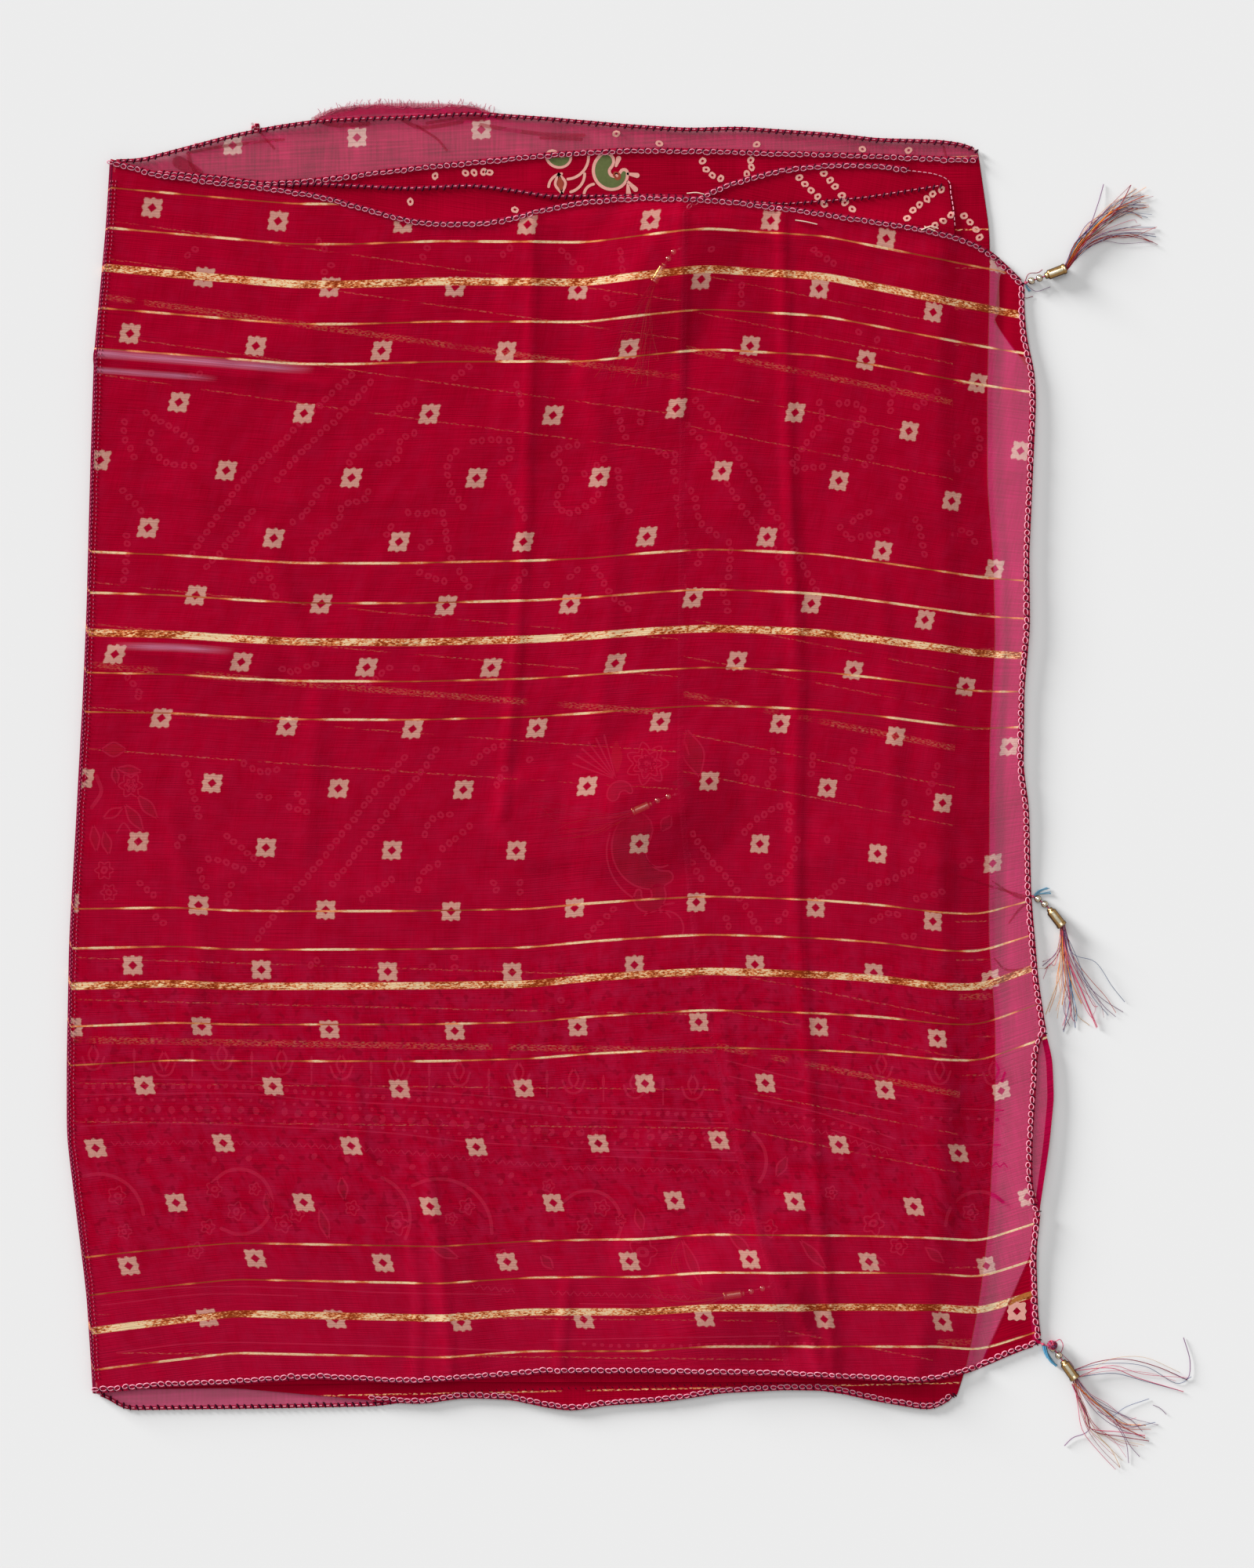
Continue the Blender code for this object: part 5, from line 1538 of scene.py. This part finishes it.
BORDER_LOZENGES = ((188, 1416), (266, 1415), (344, 1418), (422, 1422), (480, 1427), (558, 1431),
                   (632, 1438), (696, 1443), (776, 1446), (860, 1450), (930, 1452))
for x, y in BORDER_LOZENGES:
    prints.stroke(((x - 7, y), (x, y), (x + 7, y)), (0.5, 11, 0.5), ghost, GHOST_GREEN)
ARCS = (((306, 1533), 43, 215, 485), ((562, 1572), 70, 240, 360), ((128, 1556), 60, 250, 352),
        ((752, 1560), 43, 220, 385), ((1250, 1562), 44, 180, 315), ((468, 1556), 58, 290, 385),
        ((934, 1482), 45, 305, 395))
for middle, radius, start, end in ARCS:
    prints.curl(middle, radius, start, end, 4.4, ghost, GHOST_PINK, 0.94)
BORDER_FLOWERS = (
    (274, 1516, 9), (302, 1544, 10), (266, 1564, 8), (326, 1516, 7), (150, 1524, 10), (160, 1570, 8),
    (596, 1538, 9), (576, 1554, 7), (506, 1560, 13), (768, 1540, 9), (746, 1564, 9), (792, 1556, 6),
    (1114, 1560, 12), (1238, 1546, 9), (1146, 1588, 10), (362, 1560, 10), (380, 1548, 8), (820, 1596, 16),
    (940, 1552, 9), (450, 1540, 8), (980, 1566, 10), (700, 1512, 7), (640, 1602, 8), (1060, 1520, 7),
    (250, 1594, 9),
)
for x, y, radius in BORDER_FLOWERS:
    prints.flower((x, y), radius, ghost, petals=5)
BORDER_LEAVES = (
    ((340, 1520), (346, 1550)), ((408, 1540), (420, 1580)), ((436, 1500), (440, 1530)),
    ((812, 1540), (820, 1570)), ((928, 1570), (960, 1600)), ((1020, 1580), (1054, 1618)),
    ((870, 1580), (896, 1640)), ((1100, 1600), (1130, 1612)), ((1180, 1590), (1204, 1610)),
    ((990, 1500), (1004, 1474)), ((550, 1590), (586, 1604)), ((690, 1600), (706, 1618)),
)
for start, end in BORDER_LEAVES:
    prints.leaf(start, end, 12, ghost, GHOST_GREEN)
# Name, colour, roughness, unevenness, the size of its grain, metallic and alpha, in the order of the inks
PRINT_FINISHES = (
    ("print_beige", (0.68, 0.32, 0.27), 0.8, 0.16, 1.5),
    ("print_green", (0.11, 0.13, 0.045), 0.8, 0.2, 2.0),
    ("print_rust", (0.3, 0.05, 0.03), 0.8, 0.2, 2.0),
    ("hidden_pink", (0.72, 0.06, 0.14), 0.8, 0.35, 18.0),
    ("hidden_green", (0.03, 0.025, 0.025), 0.8, 0.4, 6.0),
    ("hidden_rust", (0.4, 0.03, 0.02), 0.8, 0.3, 6.0),
    ("tuck", (0.34, 0.001, 0.02), 0.8, 0.2, 6.0, 0.0, 0.4),
    ("flap", (0.3, 0.0008, 0.014), 0.8, 0.2, 6.0),
    ("sliver", (0.45, 0.008, 0.06), 0.8, 0.3, 3.0, 0.0, 0.55),
    ("bronze", (0.4, 0.13, 0.03), 0.6, 0.5, 1.2),
)
print_materials = [plain_material(*finish) for finish in PRINT_FINISHES]
printed_motifs = ride(prints.build("printed_motifs", print_materials))

# Tassels
# Brass caps and gilt beads: the dark colour is painted shade on the flanks, the light one a painted highlight
# on top
brass = lit_and_shaded_metal("brass_with_painted_light", (0.07, 0.028, 0.008), (0.6, 0.34, 0.12), (1.0, 0.9, 0.66), 0.26, 0.66)
gilt = lit_and_shaded_metal("gilt_bead", (0.1, 0.06, 0.04), (0.75, 0.6, 0.42), (1.0, 0.98, 0.9), 0.16, 0.55)
blue = plain_material("blue_thread", (0.17, 0.36, 0.5), 0.7, 0.3, 0.8)
STRAND_COLOURS = (
    ("strand_maroon", (0.26, 0.012, 0.04)),
    ("strand_rust", (0.5, 0.06, 0.02)),
    ("strand_orange", (0.8, 0.27, 0.04)),
    ("strand_pink", (0.62, 0.1, 0.18)),
    ("strand_cream", (0.66, 0.43, 0.24)),
    ("strand_mauve", (0.2, 0.09, 0.19)),
    ("strand_grey_blue", (0.13, 0.16, 0.27)),
    ("strand_blue", (0.1, 0.32, 0.5)),
)
# Strands of the tassels under the top ply take darker copies of the strand colours, a painted shade
PRESSED_SHADE = 0.42
strand_materials = [plain_material(name, colour, 0.65, 0.3, 1.2) for name, colour in STRAND_COLOURS]
shaded_under_ply_materials = []
for name, colour in STRAND_COLOURS:
    shaded = tuple(c * PRESSED_SHADE for c in colour)
    shaded_under_ply_materials.append(plain_material("shaded_under_ply_" + name, shaded, 0.7, 0.3, 1.2))
# Distance along the cap and radius there, out along its outside and back along its bore
CAP_SHAPE = ((0.0, 1.1), (0.0, 1.6), (0.35, 1.95), (0.9, 2.1), (1.4, 2.05), (1.7, 2.2), (2.1, 2.75),
             (2.6, 3.1), (3.1, 3.25), (3.6, 3.12), (4.1, 3.15), (11.2, 3.2), (11.7, 3.1), (12.1, 3.35),
             (12.7, 3.5), (13.4, 3.5), (13.9, 3.35), (14.0, 3.1), (13.8, 2.9), (3.4, 2.7), (1.6, 1.0))


THREADS_PER_STRAND = (2, 1, 1, 3, 3, 3)
TAIL_THREADS = 7
TIE_RADIUS = 0.24
KNOT_RADIUS = 0.85
KNOT_THREAD = 0.3
STRAND_RADII = (0.16, 0.33)
# How far from the cap's neck each strand is led, before it spreads
WITHIN_CAP = (9.5, 13.8)
BEAD_SEGMENTS = 28
CAP_SEGMENTS = 40
HAIR_RADII = (0.28, 0.2, 0.9)
# The ball of thread at the neck of the third tassel
BALL_MIDDLE = (1342, 1715)
BALL_HEIGHT = 3.4
BALL_RADIUS = 3.0


def bead_shape():
    start = math.asin(BEAD_BORE / BEAD_RADIUS)
    steps = 14
    angles = [start + (math.pi - 2 * start) * i / steps for i in range(steps + 1)]
    return [(-BEAD_RADIUS * math.cos(a), BEAD_RADIUS * math.sin(a)) for a in angles]


# Loose hairs of the open tassels: colour, plus 10 for a finer hair or 20 for a thick one, then photo
# pixels and height
HAIRS = {
    "tassel_1": (
        (5, ((1358, 342, 3), (1385, 300, 4), (1400, 262, 2), (1408, 235, 0.5))),
        (0, ((1360, 342, 3), (1392, 300, 5), (1425, 268, 3), (1443, 236, 0.5))),
        (16, ((1359, 343, 3), (1395, 306, 5), (1430, 292, 3), (1474, 290, 0.5))),
        (16, ((1359, 344, 3), (1396, 312, 4), (1436, 298, 2), (1475, 302, 0.5))),
        (2, ((1359, 343, 3), (1380, 310, 4), (1412, 275, 3), (1440, 262, 1))),
        (2, ((1359, 342, 3), (1376, 312, 4), (1404, 284, 3), (1424, 262, 1))),
        (1, ((1360, 343, 3), (1386, 305, 4), (1420, 270, 3), (1460, 250, 1))),
        (0, ((1307, 362, 1), (1312, 350, 2), (1324, 348, 1), (1330, 344, 0.5))),
        (15, ((1310, 364, 1), (1322, 372, 2), (1340, 366, 1))),
        (10, ((1300, 372, 1), (1308, 380, 1), (1318, 378, 0.5))),
    ),
    "tassel_2": (
        (3, ((1353, 1183, 4), (1359, 1219, 4), (1378, 1261, 3), (1399, 1311, 0.8))),
        (3, ((1354, 1184, 4), (1362, 1222, 5), (1380, 1264, 3), (1400, 1310, 1.2))),
        (2, ((1354, 1185, 4), (1356, 1223, 4), (1359, 1252, 2), (1355, 1282, 0.5))),
        (2, ((1355, 1185, 4), (1360, 1220, 4), (1366, 1250, 3), (1380, 1280, 1))),
        (5, ((1352, 1186, 4), (1353, 1204, 3), (1343, 1220, 2), (1330, 1232, 0.5))),
        (0, ((1353, 1186, 4), (1354, 1206, 3), (1345, 1224, 2), (1333, 1236, 0.5))),
        (4, ((1354, 1186, 3), (1354, 1236, 2), (1346, 1261, 1), (1334, 1294, 0.5))),
        (6, ((1356, 1186, 4), (1361, 1231, 3), (1365, 1269, 2), (1357, 1316, 0.5))),
        (6, ((1356, 1186, 4), (1364, 1236, 3), (1367, 1262, 2), (1372, 1311, 0.5))),
        (16, ((1356, 1185, 4), (1368, 1216, 5), (1397, 1227, 4), (1418, 1257, 2), (1435, 1278, 0.5))),
        (15, ((1356, 1185, 4), (1366, 1214, 5), (1380, 1248, 4), (1405, 1273, 2), (1433, 1291, 0.5))),
        (16, ((1357, 1186, 4), (1374, 1223, 4), (1390, 1265, 2), (1414, 1295, 0.5))),
        (14, ((1355, 1186, 3), (1360, 1240, 2), (1372, 1290, 1), (1390, 1308, 0.5))),
    ),
    "tassel_3": (
        (0, ((1371, 1746, 4), (1402, 1735, 5), (1437, 1733, 3), (1476, 1743, 1), (1515, 1760, 0.5))),
        (3, ((1371, 1747, 4), (1417, 1744, 4), (1451, 1757, 2), (1510, 1775, 0.5))),
        (5, ((1498, 1752, 0.8), (1515, 1758, 1), (1518, 1735, 1), (1510, 1706, 0.5))),
        (16, ((1371, 1746, 4), (1410, 1738, 4), (1460, 1742, 2), (1500, 1764, 0.8), (1520, 1756, 0.5))),
        (1, ((1368, 1762, 4), (1392, 1785, 4), (1417, 1804, 2), (1432, 1819, 1), (1461, 1834, 0.6))),
        (2, ((1369, 1763, 4), (1395, 1786, 4), (1418, 1806, 2), (1436, 1816, 1), (1462, 1818, 0.6))),
        (3, ((1367, 1764, 4), (1382, 1799, 3), (1390, 1821, 2), (1427, 1826, 1), (1461, 1831, 0.5))),
        (0, ((1367, 1764, 4), (1384, 1796, 3), (1394, 1824, 2), (1430, 1832, 1), (1466, 1838, 0.5))),
        (5, ((1367, 1765, 3), (1390, 1819, 1.5), (1368, 1834, 1), (1358, 1844, 0.5))),
        (14, ((1368, 1764, 3), (1397, 1824, 1.5), (1417, 1848, 1), (1429, 1871, 0.5))),
        (15, ((1420, 1806, 2), (1432, 1826, 1), (1442, 1844, 1), (1454, 1858, 0.5))),
        (16, ((1400, 1800, 2), (1417, 1806, 2), (1437, 1794, 1), (1466, 1784, 0.5))),
        (16, ((1410, 1800, 2), (1427, 1814, 1), (1446, 1819, 1), (1474, 1814, 0.5))),
        (15, ((1471, 1792, 0.5), (1480, 1796, 0.5), (1488, 1804, 0.5))),
        (15, ((1420, 1812, 1), (1436, 1838, 1), (1440, 1866, 0.5))),
        (3, ((1345, 1712, 1.5), (1352, 1708, 2), (1356, 1716, 2), (1352, 1726, 1.5), (1346, 1724, 1))),
        (13, ((1350, 1722, 2), (1358, 1730, 3), (1366, 1738, 2), (1370, 1744, 1))),
        (27, ((1333, 1716, 1.5), (1336, 1727, 1.6), (1340, 1735, 1.4), (1348, 1742, 1))),
        (27, ((1331, 1716, 1.2), (1333, 1724, 1.2), (1337, 1732, 1))),
    ),
}


def make_strands(name, part, per_strand, seed):
    """Fine threads that follow the CAD bundles and fray at their tips."""
    rng = np.random.default_rng(seed)
    threads = Threads()
    neck, direction = part["cap"]
    neck, direction = np.array(neck), np.array(Vector(direction).normalized())
    side = np.array((-direction[1], direction[0]))
    height = part["base"] + CAP_RADIUS + REST_GAP
    floor = part["base"] + 0.25
    sags = PRESSED_SAG if part["base"] > 0 else OPEN_SAG
    first = np.array(part["bundles"][0][1][0]) - neck
    if first @ side < 0:
        side = -side
    total = sum(bundle[0] for bundle in part["bundles"])
    index = 0
    for strands, one_side, other_side in part["bundles"]:
        palette = rng.permutation(len(STRAND_COLOURS))
        for k in range(strands * per_strand):
            share = (k + rng.uniform(-0.3, 0.3)) / max(1, strands * per_strand - 1)
            turn_at = rng.uniform(0, 2 * math.pi)
            reach = rng.uniform(0.2, 1.9)
            across, lift = math.cos(turn_at) * reach, math.sin(turn_at) * reach
            across = 0.4 * across + 1.5 * (1 - 2 * (index + k / per_strand) / total)
            line = []
            for along in WITHIN_CAP:
                plan = neck + direction * along + side * across
                line.append((*plan, height + lift))
            limp = rng.uniform(0.2, 1.0) if rng.random() < 0.45 else rng.uniform(0.8, 1.03)
            points = [np.array(a) * (1 - share) + np.array(b) * share for a, b in zip(one_side, other_side)]
            points[-1] = points[-2] + (points[-1] - points[-2]) * limp
            for j, (point, sag) in enumerate(zip(points, sags)):
                stray = rng.normal(0.0, 0.4 + 0.75 * j, 2)
                low = floor + rng.uniform(0.0, 0.9) * (part["base"] == 0.0)
                line.append((*(point + stray), low + (height + lift - low) * sag))
            line = rounded_line(line, 4)
            radius = rng.uniform(*STRAND_RADII)
            tip = np.linspace(1.0, 0.6, len(line)) * radius
            colour = palette[int(rng.integers(0, 3))] if rng.random() < 0.6 else rng.integers(0, 7)
            threads.tube(line, tip, material=int(colour))
        index += strands
    for colour, line in HAIRS.get(name, ()):
        flat = on_sheet([point[:2] for point in line])
        points = [(*spot, point[2]) for spot, point in zip(flat, line)]
        threads.tube(rounded_line(points, 6), HAIR_RADII[colour // 10], material=colour % 10)
    if name == "tassel_3":
        ball = np.random.default_rng(33)
        middle = np.array((*on_sheet([BALL_MIDDLE])[0], BALL_HEIGHT))
        for k in range(16):
            one, other = np.linalg.qr(ball.normal(size=(3, 2)))[0].T
            ring = [middle + BALL_RADIUS * (one * math.cos(a) + other * math.sin(a))
                    for a in np.linspace(0, 6, 11)]
            threads.tube(ring, 0.5, closed=True, material=(0, 3, 0, 5)[k % 4])
    piece = threads.build(name + "_threads", strand_materials if part["base"] == 0.0 else shaded_under_ply_materials)
    ride(piece)
    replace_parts(piece, name + "_strands")


def make_tassel(number, name, part):
    first = part["base"] + BEAD_RADIUS + REST_GAP
    heights = (first, first + BEAD_RISE)
    axis_height = part["base"] + CAP_RADIUS + REST_GAP
    neck, mouth = cap_ends(part)
    hem = Vector((*part["hem"], part["tie_height"]))
    start = Vector((*neck, axis_height))
    beads = [Vector((*part["bead_1"], heights[0])), Vector((*part["bead_2"], heights[1]))]
    axes = [beads[1] - hem, start - beads[0]]
    for k, (bead, axis) in enumerate(zip(beads, axes), 1):
        piece = lathe(f"{name}_gilt_{k}", bead_shape(), BEAD_SEGMENTS, bead, axis, gilt)
        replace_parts(ride(piece), f"{name}_bead_{k}")
    cap = lathe(f"{name}_barrel", CAP_SHAPE, CAP_SEGMENTS, start, (*part["cap"][1], 0.0), brass)
    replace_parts(ride(cap), name + "_cap")
    ties = Threads()
    away = (beads[0] - hem).normalized()
    knot = Vector((hem.x, hem.y, max(hem.z, part["base"] + 1.05))) + away * 1.3
    axis = (Vector((*mouth, axis_height)) - start).normalized()
    route = [knot - away * 2.6, knot]
    route += [beads[0], beads[1], start, start + axis * 9.0]
    for turn_at in (0.0, 2.1, 4.2):
        shift = Vector((0.22 * math.cos(turn_at), 0.22 * math.sin(turn_at), 0.15 * math.sin(turn_at)))
        ties.tube(rounded_line([p + shift for p in route], 6), TIE_RADIUS, sides=5, material=1)
    angles = np.linspace(0, 2 * math.pi, 10, endpoint=False)
    for tilt in (0.0, 1.1, 2.2):
        ring = [knot + KNOT_RADIUS * Vector((math.cos(a) * math.cos(tilt), math.cos(a) * math.sin(tilt),
                                             math.sin(a))) for a in angles]
        ties.tube([tuple(p) for p in ring], KNOT_THREAD, sides=5, material=1, closed=True)
    rng = np.random.default_rng(50 + number)
    for tail in part["tail"]:
        for _ in range(TAIL_THREADS):
            drift = rng.normal(0.0, 0.28, (len(tail), 2)) * np.linspace(0.4, 1.6, len(tail))[:, None]
            line = [(p[0] + d[0], p[1] + d[1], 0.6 + rng.uniform(0, 0.5)) for p, d in zip(tail, drift)]
            line[0] = (knot.x, knot.y, knot.z)
            ties.tube(rounded_line(line, 5), TIE_RADIUS, material=0)
    tie = ties.build(name + "_tie_threads", [blue, strand_materials[3]])
    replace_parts(ride(tie), name + "_tie")
    make_strands(name, part, THREADS_PER_STRAND[number - 1], 70 + number)


for tassel_number, (tassel_name, tassel_part) in enumerate(TASSELS.items(), 1):
    make_tassel(tassel_number, tassel_name, tassel_part)
